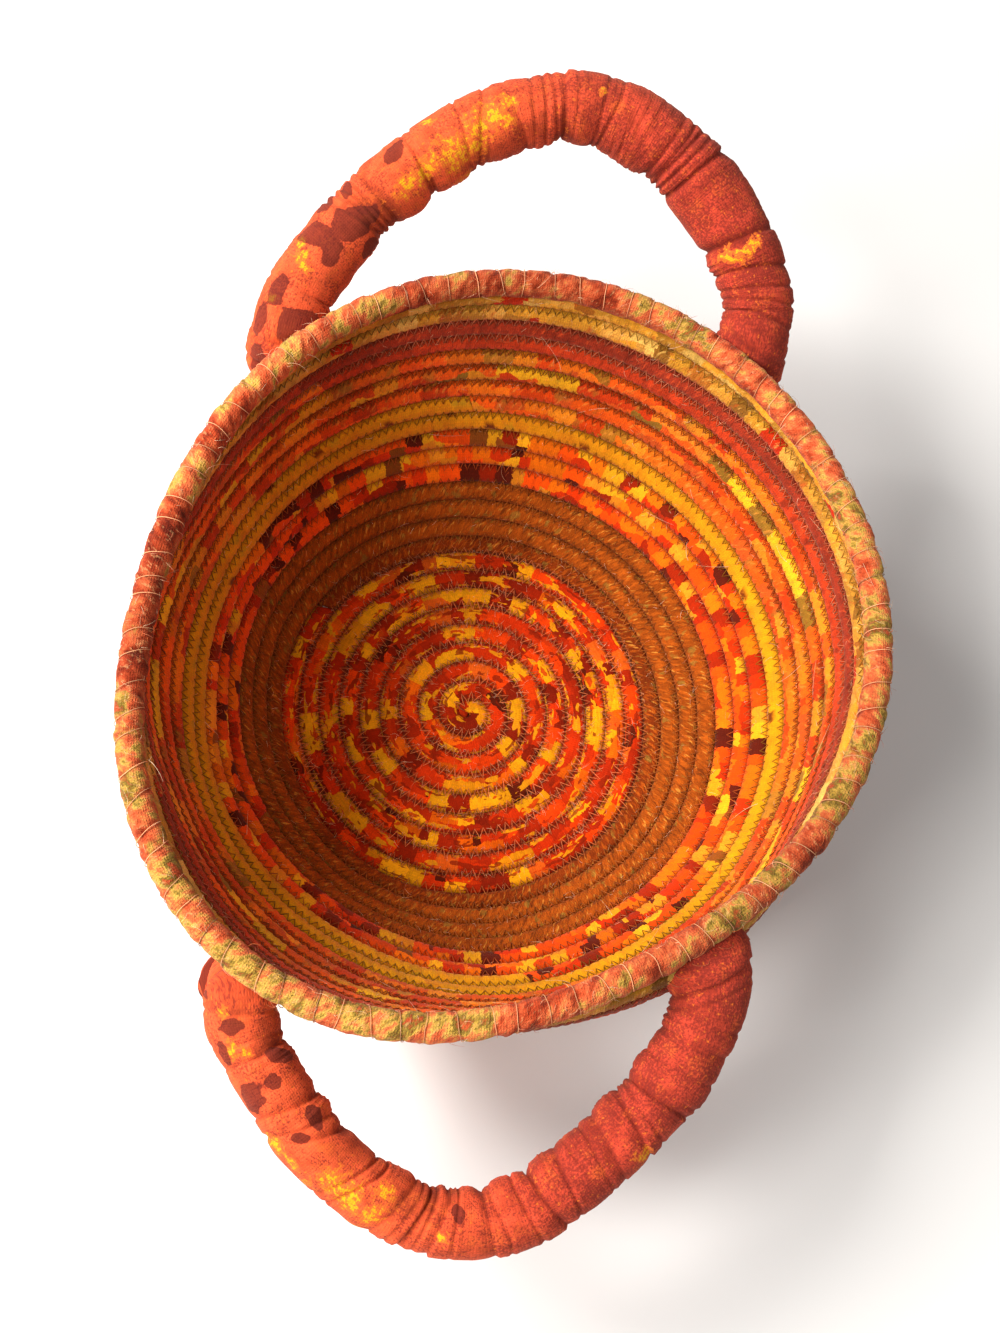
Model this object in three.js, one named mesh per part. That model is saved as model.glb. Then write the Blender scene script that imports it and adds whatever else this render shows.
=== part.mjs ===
// Coiled fabric basket with two padded handles.
// One cord, wrapped in strips of cotton, is coiled flat for the base and then
// up the wall, each turn sewn to the one before. A thicker wrapped coil
// finishes the rim, and two padded, cloth-covered handles are sewn by their
// ends to the outside of the wall, just under the rim.
// Millimetres, +Z up. The handles lie towards +Y (a) and -Y (b).
import * as THREE from 'three';

// ---------------------------------------------------------------- dimensions
const PITCH = 8.0;              // one wrapped course, seam to seam
const STEPS = 16;               // straight facets per turn of the coil
const COURSE_A = 3.85;          // half height of a course along the stack
const COURSE_T = 3.3333;        // half thickness of a course through the wall
const HOLE_A = 3.05;            // half height of the space for the cord
const HOLE_T = 2.45;            // half thickness of the space for the cord
const CORD_A = 2.50;            // half height of the cord
const CORD_T = 1.92;            // half thickness of the cord
const END_GAP = 0.30;           // gap where one strip stops and the next starts, degrees of turn

// the coil is counted in degrees T from its centre, clockwise from above;
// the outer seam of the course at T is T / 360 courses from the centre
const T_START = 369;
const STRIP_ENDS = {
  wrap_base: 3453.75,
  wrap_brown: 4826.25,
  wrap_patch: 5838.75,
  wrap_yellow: 6378.75,
  wrap_orange: 7796.25,
  wrap_red: 8403.75,
  wrap_gold: 9011.25,
};
const T_TAPER = 8784;           // the last turn is trimmed thinner from here on
const T_CORD_END = 8876.25;
const TOP_SEAM = 24.4;          // courses from the centre to the top of the wall
const AZ_0 = -8;                // azimuth of T = 0, degrees

// slope of the wall, degrees from level, at a number of courses from the centre
const SLOPE = [[0, 0], [8.55, 0], [9.0, 22], [9.55, 43], [11.5, 43.5], [14.0, 52.6], [17.5, 66.8], [21.0, 83.0], [24.6, 80.5], [27, 80.5]];
// how the soft wall departs from that round the basket, degrees: one row for
// each 30 degrees of azimuth from -180, at LEAN_S courses from the centre
const LEAN_S = [9, 10.2, 11.8, 14, 16, 18, 20, 22, 23.6, 25.2];
const LEAN = [
  [-10, 1, 10, 11, 5, -7, -8, 8, 21, 28],
  [1, 1, 1, 1, 0, -3, -4, -5, -5, -5],
  [-14, -9, -2, -1, -6, -10, -16, -9, 0, 0],
  [-16, -12, -7, -5, -4, -2, -3, -1, 8, 16],
  [-11, -8, -5, -4, -7, -10, -4, 11, 27, 38],
  [-29, -17, -6, -5, -6, -2, 5, 8, 5, 2],
  [-7, -6, -7, -10, -10, -7, -4, -1, 4, 9],
  [1, -2, -5, -8, -9, -8, -7, -4, 0, 2],
  [0, -2, -1, -3, -6, -6, -5, -5, -7, -8],
  [0, -2, 0, 0, -1, -2, -6, -5, 1, 6],
  [-14, -4, 5, 10, 7, -2, -4, 1, 9, 16],
  [-26, -8, 10, 16, 11, 0, -2, 5, 14, 22],
];
// the soft rim, out of round and a little tilted: mean, then cos and sin of
// each harmonic, in millimetres
const RIM_RADIUS = [128.11, 5.98, -1.64, -2.35, 8.09, 3.32, -1.54, -0.64, -0.98];
const RIM_HEIGHT = [111.96, -4.44, 2.21];
const STIFFNESS = 300;          // of the wall against the rim's pull, square millimetres per radian

const RIM_SIGMA = 25.03;        // centre of the rim coil, in courses
const RIM_R = 4.8;
const RIM_HOLE_R = 3.85;
const RIM_CORD_R = 3.45;
const RIM_START = 160;          // azimuth of the rim coil's butt joint

// handles: centre lines in the handle's own plane, x and distance v from y = 106
const HANDLE_ROOT_Y = 106;
const HANDLE_A = {
  name: 'handle_a', side: 1, lift: 28, rootZ: 103, pivotY: 127,
  line: [[-66, 23.78], [-60, 30.5], [-50, 41.5], [-38, 54.5], [-24, 66], [-8, 75.8], [10, 83.6], [30, 87], [49, 83.2], [66, 73.2], [82, 58.5], [93, 42.5], [99.5, 23.78]],
  r0: 12.4, r1: 13.8,
};
const HANDLE_B = {
  name: 'handle_b', side: -1, lift: -14, rootZ: 98, pivotY: 135,
  line: [[-79, 29.89], [-75, 37.5], [-66.5, 50.5], [-56.5, 63], [-44, 74], [-28, 82.8], [-8, 87], [9, 82.5], [23, 72.8], [37, 62.2], [50, 50.5], [60.5, 38.5], [66, 29.89]],
  r0: 11.6, r1: 13.3,
};
const HANDLE_SIDES = 8;
const COVER_T = 1.2;            // cotton cover, with its folds and overlaps
const SKIN_GAP = 0.6;
const HANDLE_HOLE_R = 4.5;      // where the handle's cord comes out of the cover
const HANDLE_CORD_R = 4.05;
const PAD_HOLE_R = 4.4;
const STUB_GAP = 2.0;           // sewn end to the wall
const STUB_SIDES = 10;
const THREAD_R = 0.55;

// origin: centre of the bounding box of the whole object, on the floor
const SHIFT_X = -6.9279;
const SHIFT_Y = 3.8463;

const rad = (d) => (d * Math.PI) / 180;

// ---------------------------------------------------------------- wall shape
function lerpTable(tab, x) {
  if (x <= tab[0][0]) return tab[0][1];
  for (let i = 1; i < tab.length; i++) {
    if (x <= tab[i][0]) {
      const f = (x - tab[i - 1][0]) / (tab[i][0] - tab[i - 1][0]);
      return tab[i - 1][1] + f * (tab[i][1] - tab[i - 1][1]);
    }
  }
  return tab[tab.length - 1][1];
}
const smooth = (a, b, x) => {
  const t = Math.min(1, Math.max(0, (x - a) / (b - a)));
  return t * t * (3 - 2 * t);
};
const series = (c, az) => {
  let v = c[0];
  for (let n = 1; 2 * n <= c.length - 1; n++) v += c[2 * n - 1] * Math.cos(rad(n * az)) + c[2 * n] * Math.sin(rad(n * az));
  return v;
};
// the row of LEAN at any azimuth, smoothly between the stated ones
function leanAt(az) {
  const x = ((((az + 180) % 360) + 360) % 360) / 30, i = Math.floor(x), f = x - i;
  const [p, q, r, t] = [-1, 0, 1, 2].map((d) => LEAN[(i + d + 12) % 12]);
  return q.map((_, k) => q[k] + 0.5 * f * (r[k] - p[k] + f * (2 * p[k] - 5 * q[k] + 4 * r[k] - t[k] + f * (3 * (q[k] - r[k]) + t[k] - p[k]))));
}
// a and b bring the rim towards its own radius and height
function slopeAt(s, lean, a, b) {
  return rad(lerpTable(SLOPE, s) + smooth(8.6, 9.4, s) * lerpTable(lean, s))
    + a * (smooth(8.8, 10.2, s) - smooth(12.5, 15.0, s)) + b * smooth(12.0, 17.0, s);
}
const S_FLAT = 8.0, DS = 0.02, NS = 930;
function integrate(lean, a, b) {
  const rs = [S_FLAT * PITCH], zs = [COURSE_T];
  for (let i = 0; i < NS; i++) {
    const p = slopeAt(S_FLAT + (i + 0.5) * DS, lean, a, b);
    rs.push(rs[i] + Math.cos(p) * DS * PITCH);
    zs.push(zs[i] + Math.sin(p) * DS * PITCH);
  }
  return { rs, zs };
}
const readAt = (arr, s) => {
  const x = (s - S_FLAT) / DS, i = Math.min(NS - 1, Math.max(0, Math.floor(x)));
  return arr[i] + (x - i) * (arr[i + 1] - arr[i]);
};
const profiles = new Map();
function profileAt(az) {
  const key = Math.round((((az % 360) + 360) % 360) * 1e4);
  if (profiles.has(key)) return profiles.get(key);
  const lean = leanAt(az).map((v, k) => [LEAN_S[k], v]);
  const rT = series(RIM_RADIUS, az), zT = series(RIM_HEIGHT, az);
  const miss = (a, b) => {
    const q = integrate(lean, a, b);
    return [readAt(q.rs, RIM_SIGMA) - rT, readAt(q.zs, RIM_SIGMA) - zT];
  };
  // least squares: the wall's stated shape gives way only a little
  let a = 0, b = 0;
  for (let i = 0; i < 5; i++) {
    const [e, f] = miss(a, b), h = 1e-4, ma = miss(a + h, b), mb = miss(a, b + h);
    const ar = (ma[0] - e) / h, aZ = (ma[1] - f) / h, br = (mb[0] - e) / h, bZ = (mb[1] - f) / h;
    const A = ar * ar + aZ * aZ + STIFFNESS, B = ar * br + aZ * bZ, D = br * br + bZ * bZ + STIFFNESS;
    const g = ar * e + aZ * f + STIFFNESS * a, k = br * e + bZ * f + STIFFNESS * b, det = A * D - B * B;
    a -= (D * g - B * k) / det;
    b -= (A * k - B * g) / det;
  }
  const q = { ...integrate(lean, a, b), lean, a, b };
  profiles.set(key, q);
  return q;
}
// point on the middle of the wall: radius, height and slope
function wallAt(s, az) {
  if (s <= S_FLAT) return { r: s * PITCH, z: COURSE_T, phi: 0 };
  const q = profileAt(az), phi = slopeAt(s, q.lean, q.a, q.b);
  const rest = COURSE_T * Math.cos(phi) + 0.5 * COURSE_A * Math.sin(phi);
  return { r: readAt(q.rs, s), z: Math.max(readAt(q.zs, s), rest), phi };
}
// place a flat section [stack, through] on the wall
function place(s, az, pts) {
  const w = wallAt(s, az), ca = Math.cos(rad(az)), sa = Math.sin(rad(az));
  return pts.map(([u, n]) => {
    const r = w.r + u * Math.cos(w.phi) - n * Math.sin(w.phi);
    const z = w.z + u * Math.sin(w.phi) + n * Math.cos(w.phi);
    return new THREE.Vector3(r * ca, r * sa, z);
  });
}
// where the coil is at T: centre in courses, and how much of a full course it is
function courseAt(T) {
  if (T <= T_TAPER) return { s: T / 360 - 0.5, k: 1 };
  const inner = (T - 360) / 360, k = TOP_SEAM - inner;
  return { s: inner + k / 2, k };
}
const cache = new Map();
function sectionVertex(T, shape, key) {
  const id = key + T;
  if (!cache.has(id)) {
    const c = courseAt(T);
    cache.set(id, place(c.s, AZ_0 - T, shape.map(([u, n]) => [u * c.k, n])));
  }
  return cache.get(id);
}
// a section anywhere on the coil lies on the straight facet between two stops
function sectionAt(T, shape, key) {
  const step = 360 / STEPS, i = Math.floor(T / step + 1e-9), f = T / step - i;
  const a = sectionVertex(i * step, shape, key);
  if (f < 1e-6) return a;
  const b = sectionVertex((i + 1) * step, shape, key);
  return a.map((p, k) => p.clone().lerp(b[k], f));
}

// ---------------------------------------------------------------- closed bodies
// rings: list of rings, each a list of Vector3; ends closed by caps
function addTube(out, rings, inward) {
  const n = rings[0].length;
  for (let i = 0; i + 1 < rings.length; i++) {
    for (let k = 0; k < n; k++) {
      const a = rings[i][k], b = rings[i][(k + 1) % n], c = rings[i + 1][(k + 1) % n], d = rings[i + 1][k];
      if (inward) out.push(a, c, b, a, d, c);
      else out.push(a, b, c, a, c, d);
    }
  }
}
function addCap(out, outer, hole, flip) {
  // triangulate in the ring's own plane, taken from the flat section shape
  const c2 = outer.flat2, h2 = hole ? hole.flat2 : null;
  const contour = c2.map(([x, y]) => new THREE.Vector2(x, y));
  const holes = h2 ? [h2.map(([x, y]) => new THREE.Vector2(x, y))] : [];
  const tris = THREE.ShapeUtils.triangulateShape(contour.slice(), holes.map((h) => h.slice()));
  const pts = outer.ring.concat(hole ? hole.ring : []);
  for (const [i, j, k] of tris) {
    if (flip) out.push(pts[i], pts[k], pts[j]);
    else out.push(pts[i], pts[j], pts[k]);
  }
}
function bodyGeometry(tri) {
  const pos = new Float32Array(tri.length * 3);
  tri.forEach((p, i) => { pos[3 * i] = p.x; pos[3 * i + 1] = p.y; pos[3 * i + 2] = p.z; });
  const g = new THREE.BufferGeometry();
  g.setAttribute('position', new THREE.BufferAttribute(pos, 3));
  g.computeVertexNormals();
  return g;
}
function signedVolume(tri) {
  let v = 0;
  for (let i = 0; i < tri.length; i += 3) v += tri[i].dot(new THREE.Vector3().crossVectors(tri[i + 1], tri[i + 2]));
  return v / 6;
}
function outFacing(tri) {
  if (signedVolume(tri) >= 0) return tri;
  const t = [];
  for (let i = 0; i < tri.length; i += 3) t.push(tri[i], tri[i + 2], tri[i + 1]);
  return t;
}
// a bar or a hollow strip along the coil from T0 to T1
function coilBody(T0, T1, shape, hole, key) {
  const step = 360 / STEPS, stops = [T0];
  for (let i = Math.floor(T0 / step) + 1; i * step < T1 - 1e-6; i++) if (i * step - T0 > 1e-3) stops.push(i * step);
  stops.push(T1);
  const tri = [];
  const outer = stops.map((T) => sectionAt(T, shape, key + 'o'));
  addTube(tri, outer, false);
  let inner = null;
  if (hole) {
    inner = stops.map((T) => sectionAt(T, hole, key + 'i'));
    addTube(tri, inner, true);
  }
  const last = stops.length - 1;
  addCap(tri, { ring: outer[0], flat2: shape }, inner && { ring: inner[0], flat2: hole }, true);
  addCap(tri, { ring: outer[last], flat2: shape }, inner && { ring: inner[last], flat2: hole }, false);
  return bodyGeometry(outFacing(tri));
}
const hexagon = (a, t) => [[a, 0], [a / 2, t], [-a / 2, t], [-a, 0], [-a / 2, -t], [a / 2, -t]];
const diamond = (a, t) => [[a, 0], [0, t], [-a, 0], [0, -t]];

// ---------------------------------------------------------------- rim coil
function rimBody(shape, hole, az0, az1) {
  const step = 360 / STEPS, stops = [az0];
  for (let i = 0; i < 3 * STEPS; i++) {
    const az = AZ_0 + i * step;
    if (az > az0 + 0.5 && az < az1 - 0.5) stops.push(az);
  }
  stops.push(az1);
  const ringAt = (az, s) => {
    // straight facets share their corners with the wall's facets
    const i = Math.floor((az - AZ_0) / step + 1e-9), f = (az - AZ_0) / step - i;
    const a = place(RIM_SIGMA, AZ_0 + i * step, s), b = place(RIM_SIGMA, AZ_0 + (i + 1) * step, s);
    return a.map((p, k) => p.clone().lerp(b[k], f));
  };
  const tri = [];
  const outer = stops.map((a) => ringAt(a, shape));
  addTube(tri, outer, false);
  const inner = hole ? stops.map((a) => ringAt(a, hole)) : null;
  if (inner) addTube(tri, inner, true);
  const last = stops.length - 1;
  addCap(tri, { ring: outer[0], flat2: shape }, inner && { ring: inner[0], flat2: hole }, true);
  addCap(tri, { ring: outer[last], flat2: shape }, inner && { ring: inner[last], flat2: hole }, false);
  return bodyGeometry(outFacing(tri));
}
const hexRing = (r) => hexagon(r, r * 0.866);

// ---------------------------------------------------------------- handles
function handleFrame(h) {
  const e = rad(h.lift), dir = new THREE.Vector3(0, h.side * Math.cos(e), Math.sin(e));
  const root = new THREE.Vector3(0, h.side * HANDLE_ROOT_Y, h.rootZ);
  const curve = new THREE.CatmullRomCurve3(h.line.map(([x, v]) => new THREE.Vector3(x, v, 0)), false, 'centripetal');
  const L = curve.getLength();
  const pts = [];
  const N = 10;
  for (let i = 0; i <= N; i++) {
    const u = i / N, p = curve.getPointAt(u), t = curve.getTangentAt(u);
    pts.push({ s: u * L, p, t, r: h.r0 + (h.r1 - h.r0) * smooth(0.15, 0.85, u) });
  }
  const world = (x, v, b) => root.clone().addScaledVector(new THREE.Vector3(1, 0, 0), x).addScaledVector(dir, v)
    .addScaledVector(new THREE.Vector3().crossVectors(new THREE.Vector3(1, 0, 0), dir), b);
  return { pts, world, L, dir, root };
}
// ring of radius r at station i, moved along the tangent by d
function handleRing(f, i, d, r) {
  const { p, t } = f.pts[i], out = [];
  for (let k = 0; k < HANDLE_SIDES; k++) {
    const a = (2 * Math.PI * (k + 0.5)) / HANDLE_SIDES, c = Math.cos(a) * r, b = Math.sin(a) * r;
    out.push(f.world(p.x + t.x * d - t.y * c, p.y + t.y * d + t.x * c, b));
  }
  return out;
}
// closed skin turned about the centre line: hollow, open at both ends
function handleShell(h, dOut, holeR, dIn, innerR) {
  const f = handleFrame(h), last = f.pts.length - 1, loop = [];
  const endRings = (i, R, hole, sign) => {
    const pole = Math.sqrt(R * R - hole * hole);
    return [[i, sign * pole, hole], [i, sign * R * Math.sin(rad(34)), R * Math.cos(rad(34))]];
  };
  const R0 = f.pts[0].r - dOut, R1 = f.pts[last].r - dOut;
  for (const e of endRings(0, R0, holeR, -1)) loop.push(e);
  for (let i = 0; i <= last; i++) loop.push([i, 0, f.pts[i].r - dOut]);
  for (const e of endRings(last, R1, holeR, 1).reverse()) loop.push(e);
  if (innerR === null) {
    const I0 = f.pts[0].r - dIn, I1 = f.pts[last].r - dIn;
    for (const e of endRings(last, I1, holeR, 1)) loop.push(e);
    for (let i = last; i >= 0; i--) loop.push([i, 0, f.pts[i].r - dIn]);
    for (const e of endRings(0, I0, holeR, -1).reverse()) loop.push(e);
  } else {
    const q1 = Math.sqrt(R1 * R1 - holeR * holeR), q0 = Math.sqrt(R0 * R0 - holeR * holeR);
    loop.push([last, q1, innerR]);
    for (let i = last; i >= 0; i--) loop.push([i, 0, innerR]);
    loop.push([0, -q0, innerR]);
  }
  const rings = loop.map(([i, d, r]) => handleRing(f, i, d, r));
  rings.push(rings[0]);
  const tri = [];
  addTube(tri, rings, false);
  return bodyGeometry(outFacing(tri));
}
function handleCord(h) {
  const f = handleFrame(h), last = f.pts.length - 1;
  const e0 = f.pts[0].r - 0.6, e1 = f.pts[last].r - 0.6;
  const rings = [handleRing(f, 0, -e0, HANDLE_CORD_R)];
  for (let i = 0; i <= last; i++) rings.push(handleRing(f, i, 0, HANDLE_CORD_R));
  rings.push(handleRing(f, last, e1, HANDLE_CORD_R));
  const tri = [];
  addTube(tri, rings, false);
  const fan = (ring, flip) => {
    for (let k = 1; k + 1 < ring.length; k++) { if (flip) tri.push(ring[0], ring[k + 1], ring[k]); else tri.push(ring[0], ring[k], ring[k + 1]); }
  };
  fan(rings[0], true);
  fan(rings[rings.length - 1], false);
  return bodyGeometry(outFacing(tri));
}
// how far out in y the wall and the rim reach at a point (x, z), with clearance
function wallOutsideY(x, z, side, clear) {
  const step = 360 / STEPS;
  let best = 0;
  const reach = (sc, half, through) => {
    for (let i = 0; i < STEPS; i++) {
      for (const u of [-half, 0, half]) {
        const [p] = place(sc, AZ_0 - i * step, [[u, -through]]), [q] = place(sc, AZ_0 - (i + 1) * step, [[u, -through]]);
        if (side * (p.y + q.y) < 0 || (p.x - x) * (q.x - x) > 0) continue;
        const f = (x - p.x) / (q.x - p.x), y = side * (p.y + f * (q.y - p.y)), zz = p.z + f * (q.z - p.z);
        if (Math.abs(zz - z) < 2.6) best = Math.max(best, y);
      }
    }
  };
  for (let sc = 18; sc <= 24.45; sc += 0.33) reach(sc, 1.9, COURSE_T + clear);
  reach(RIM_SIGMA, 2.6, RIM_R * 0.866 + clear);
  reach(RIM_SIGMA - 0.33, 0, RIM_R * 0.5 + clear);
  return best;
}
function stubData(h, which) {
  const f = handleFrame(h), idx = which === 'left' ? 0 : f.pts.length - 1, P = f.pts[idx];
  const front = f.world(P.p.x, P.p.y, 0);
  const yF = Math.abs(front.y) - P.r - 0.45;
  const zF = h.rootZ + (yF - HANDLE_ROOT_Y) * Math.tan(rad(h.lift));
  const xF = P.p.x, xR = xF * 1.02;
  const azF = Math.atan2(h.side * (yF - 8), xF) / rad(1);
  const rw = P.r - 1.6, rearH = 6.4, rearZ = series(RIM_HEIGHT, azF) - 14;
  const front_ = [], rear = [];
  for (let k = 0; k < STUB_SIDES; k++) {
    const a = (2 * Math.PI * (k + 0.5)) / STUB_SIDES;
    front_.push(new THREE.Vector3(xF + rw * Math.cos(a), h.side * yF, zF + (rw - 1.5) * Math.sin(a)));
    const x = xR + (rw + 0.4) * Math.cos(a), z = rearZ + rearH * Math.sin(a);
    rear.push(new THREE.Vector3(x, h.side * wallOutsideY(x, z, h.side, STUB_GAP), z));
  }
  const cF = new THREE.Vector3(xF, h.side * yF, zF);
  const cR = new THREE.Vector3(xR, h.side * (wallOutsideY(xR, rearZ, h.side, STUB_GAP)), rearZ);
  return { front: front_, rear, cF, cR };
}
function stubBody(h, which) {
  const d = stubData(h, which), tri = [], n = STUB_SIDES;
  addTube(tri, [d.rear, d.front], false);
  for (let k = 0; k < n; k++) {
    tri.push(d.cR, d.rear[(k + 1) % n], d.rear[k]);
    tri.push(d.cF, d.front[k], d.front[(k + 1) % n]);
  }
  return bodyGeometry(outFacing(tri));
}
// one thread sewn round the end, in an upright plane close to the wall
function stitchBody(h, which) {
  const d = stubData(h, which), n = STUB_SIDES * 2, path = [];
  const reach = Math.max(...d.rear.map((p) => h.side * p.y)), front = h.side * d.front[0].y;
  const y0 = h.side * (reach + 0.45 * (front - reach));
  const mid = new THREE.Vector3((d.cR.x + d.cF.x) / 2, y0, (d.cR.z + d.cF.z) / 2);
  const skin = [];
  for (let k = 0; k < n; k++) {
    const i = Math.floor(k / 2), j = (i + 1) % STUB_SIDES;
    const R = k % 2 ? d.rear[i].clone().lerp(d.rear[j], 0.5) : d.rear[i].clone();
    const F = k % 2 ? d.front[i].clone().lerp(d.front[j], 0.5) : d.front[i].clone();
    skin.push(R.clone().lerp(F, (y0 - R.y) / (F.y - R.y)));
  }
  for (let k = 0; k < n; k++) {
    const t = skin[(k + 1) % n].clone().sub(skin[(k + n - 1) % n]), away = new THREE.Vector3(t.z, 0, -t.x).normalize();
    if (away.dot(skin[k].clone().sub(mid)) < 0) away.negate();
    path.push(skin[k].clone().addScaledVector(away, THREAD_R + 2.0));
  }
  const rings = [], sides = 4;
  for (let k = 0; k < n; k++) {
    const t = path[(k + 1) % n].clone().sub(path[(k + n - 1) % n]).normalize();
    const away = path[k].clone().sub(mid).setY(0).normalize();
    const b = new THREE.Vector3().crossVectors(t, away).normalize(), a = new THREE.Vector3().crossVectors(b, t).normalize();
    const ring = [];
    for (let q = 0; q < sides; q++) {
      const g = (2 * Math.PI * q) / sides;
      ring.push(path[k].clone().addScaledVector(a, THREAD_R * Math.cos(g)).addScaledVector(b, THREAD_R * Math.sin(g)));
    }
    rings.push(ring);
  }
  rings.push(rings[0]);
  const tri = [];
  addTube(tri, rings, false);
  return bodyGeometry(outFacing(tri));
}

// ---------------------------------------------------------------- assembly
const cloth = (color, roughness = 0.95) => new THREE.MeshStandardMaterial({ color, roughness, metalness: 0 });
const basket = new THREE.Group();
const add = (name, geometry, material, parent = basket) => {
  geometry.translate(SHIFT_X, SHIFT_Y, 0);
  const m = new THREE.Mesh(geometry, material);
  m.name = name;
  parent.add(m);
  return m;
};

const stripColour = {
  wrap_base: 0xc8401c, wrap_brown: 0x8a4420, wrap_patch: 0xd0501e, wrap_yellow: 0xe0a020,
  wrap_orange: 0xe2601c, wrap_red: 0xb83420, wrap_gold: 0xd89a34,
};
let T0 = T_START;
for (const [name, T1] of Object.entries(STRIP_ENDS)) {
  add(name, coilBody(T0 + END_GAP / 2, T1 - END_GAP / 2, hexagon(COURSE_A, COURSE_T), diamond(HOLE_A, HOLE_T), 'w'), cloth(stripColour[name]));
  T0 = T1;
}
add('core_rope', coilBody(T_START + 8, T_CORD_END, diamond(CORD_A, CORD_T), null, 'c'), cloth(0xe8e0cc));
add('rim_wrap', rimBody(hexRing(RIM_R), hexRing(RIM_HOLE_R), RIM_START, RIM_START + 359.2), cloth(0xdc6a3a));
add('rim_rope', rimBody(hexRing(RIM_CORD_R), null, RIM_START + 0.6, RIM_START + 358.6), cloth(0xe8e0cc));

for (const h of [HANDLE_A, HANDLE_B]) {
  add(h.name + '_cover', handleShell(h, 0, HANDLE_HOLE_R, COVER_T, null), cloth(0xc84a30));
  add(h.name + '_padding', handleShell(h, COVER_T + SKIN_GAP, 5.2, 0, PAD_HOLE_R), cloth(0xf2ece0));
  add(h.name + '_rope', handleCord(h), cloth(0xe8e0cc));
  for (const which of ['left', 'right']) {
    add(h.name + '_end_' + which, stubBody(h, which), cloth(0xc04028));
    add(h.name + '_stitch_' + which, stitchBody(h, which), cloth(0xf0c8b0));
  }
}

export default basket;
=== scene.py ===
"""Looks of the coiled fabric basket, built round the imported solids.

Lengths in this file are millimetres until a mesh is made; the basket's own
axis is at x = y = 0 and SHIFT moves it to the part's frame.
"""
import math

import bpy
import numpy as np
from mathutils import Matrix, Vector


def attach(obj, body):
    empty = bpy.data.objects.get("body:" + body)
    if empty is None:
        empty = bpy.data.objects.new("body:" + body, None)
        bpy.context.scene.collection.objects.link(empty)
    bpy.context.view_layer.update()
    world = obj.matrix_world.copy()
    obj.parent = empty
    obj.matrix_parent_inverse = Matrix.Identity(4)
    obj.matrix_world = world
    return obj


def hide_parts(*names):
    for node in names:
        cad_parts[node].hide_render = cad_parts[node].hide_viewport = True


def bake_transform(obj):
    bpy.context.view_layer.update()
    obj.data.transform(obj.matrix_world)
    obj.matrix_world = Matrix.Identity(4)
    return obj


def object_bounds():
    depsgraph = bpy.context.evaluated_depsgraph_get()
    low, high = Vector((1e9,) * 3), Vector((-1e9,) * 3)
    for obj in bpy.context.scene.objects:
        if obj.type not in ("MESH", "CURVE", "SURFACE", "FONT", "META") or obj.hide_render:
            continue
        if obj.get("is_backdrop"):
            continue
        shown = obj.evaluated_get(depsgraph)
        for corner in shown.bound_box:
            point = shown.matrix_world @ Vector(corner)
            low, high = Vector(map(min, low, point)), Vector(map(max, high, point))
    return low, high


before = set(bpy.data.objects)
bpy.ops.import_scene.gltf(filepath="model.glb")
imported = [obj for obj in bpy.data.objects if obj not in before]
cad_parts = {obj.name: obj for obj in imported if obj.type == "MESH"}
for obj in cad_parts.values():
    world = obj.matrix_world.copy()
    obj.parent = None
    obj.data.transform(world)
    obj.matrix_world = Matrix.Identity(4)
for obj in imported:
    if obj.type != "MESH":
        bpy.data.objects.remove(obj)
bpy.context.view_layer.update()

SHIFT = np.array([-6.9279, 3.8463, 0.0])
rng = np.random.default_rng(20)

# ------------------------------------------------------------------ wall shape
PITCH = 8.0
HALF_T = 3.3333
TOP_SEAM = 24.4
RIM_SIGMA = 25.03
AZ_0 = -8.0
SLOPE = np.array([[0, 0], [8.55, 0], [9.0, 22], [9.55, 43], [11.5, 43.5], [14.0, 52.6], [17.5, 66.8], [21.0, 83.0], [24.6, 80.5], [27, 80.5]], float)
# how the soft wall departs from that, degrees: a row each 30 degrees of azimuth from -180
LEAN_S = np.array([9, 10.2, 11.8, 14, 16, 18, 20, 22, 23.6, 25.2])
LEAN = np.array([
    [-10, 1, 10, 11, 5, -7, -8, 8, 21, 28],
    [1, 1, 1, 1, 0, -3, -4, -5, -5, -5],
    [-14, -9, -2, -1, -6, -10, -16, -9, 0, 0],
    [-16, -12, -7, -5, -4, -2, -3, -1, 8, 16],
    [-11, -8, -5, -4, -7, -10, -4, 11, 27, 38],
    [-29, -17, -6, -5, -6, -2, 5, 8, 5, 2],
    [-7, -6, -7, -10, -10, -7, -4, -1, 4, 9],
    [1, -2, -5, -8, -9, -8, -7, -4, 0, 2],
    [0, -2, -1, -3, -6, -6, -5, -5, -7, -8],
    [0, -2, 0, 0, -1, -2, -6, -5, 1, 6],
    [-14, -4, 5, 10, 7, -2, -4, 1, 9, 16],
    [-26, -8, 10, 16, 11, 0, -2, 5, 14, 22]], float)
# the rim, out of round and a little tilted: mean, then cos and sin of each harmonic
RIM_RADIUS = [128.11, 5.98, -1.64, -2.35, 8.09, 3.32, -1.54, -0.64, -0.98]
RIM_HEIGHT = [111.96, -4.44, 2.21]
STIFFNESS = 300.0     # of the wall against the rim's pull


def smooth(a, b, x):
    t = np.clip((x - a) / (b - a), 0, 1)
    return t * t * (3 - 2 * t)


def series(c, az):
    v = np.full_like(az, c[0], dtype=float)
    for n in range(1, (len(c) - 1) // 2 + 1):
        v = v + c[2 * n - 1] * np.cos(np.radians(n * az)) + c[2 * n] * np.sin(np.radians(n * az))
    return v


def lean_at(az):
    x = ((az + 180) % 360) / 30
    i = np.floor(x).astype(int)
    f = (x - i)[:, None]
    p, q, r, t = (LEAN[(i + d) % 12] for d in (-1, 0, 1, 2))
    return q + 0.5 * f * (r - p + f * (2 * p - 5 * q + 4 * r - t + f * (3 * (q - r) + t - p)))


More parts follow.
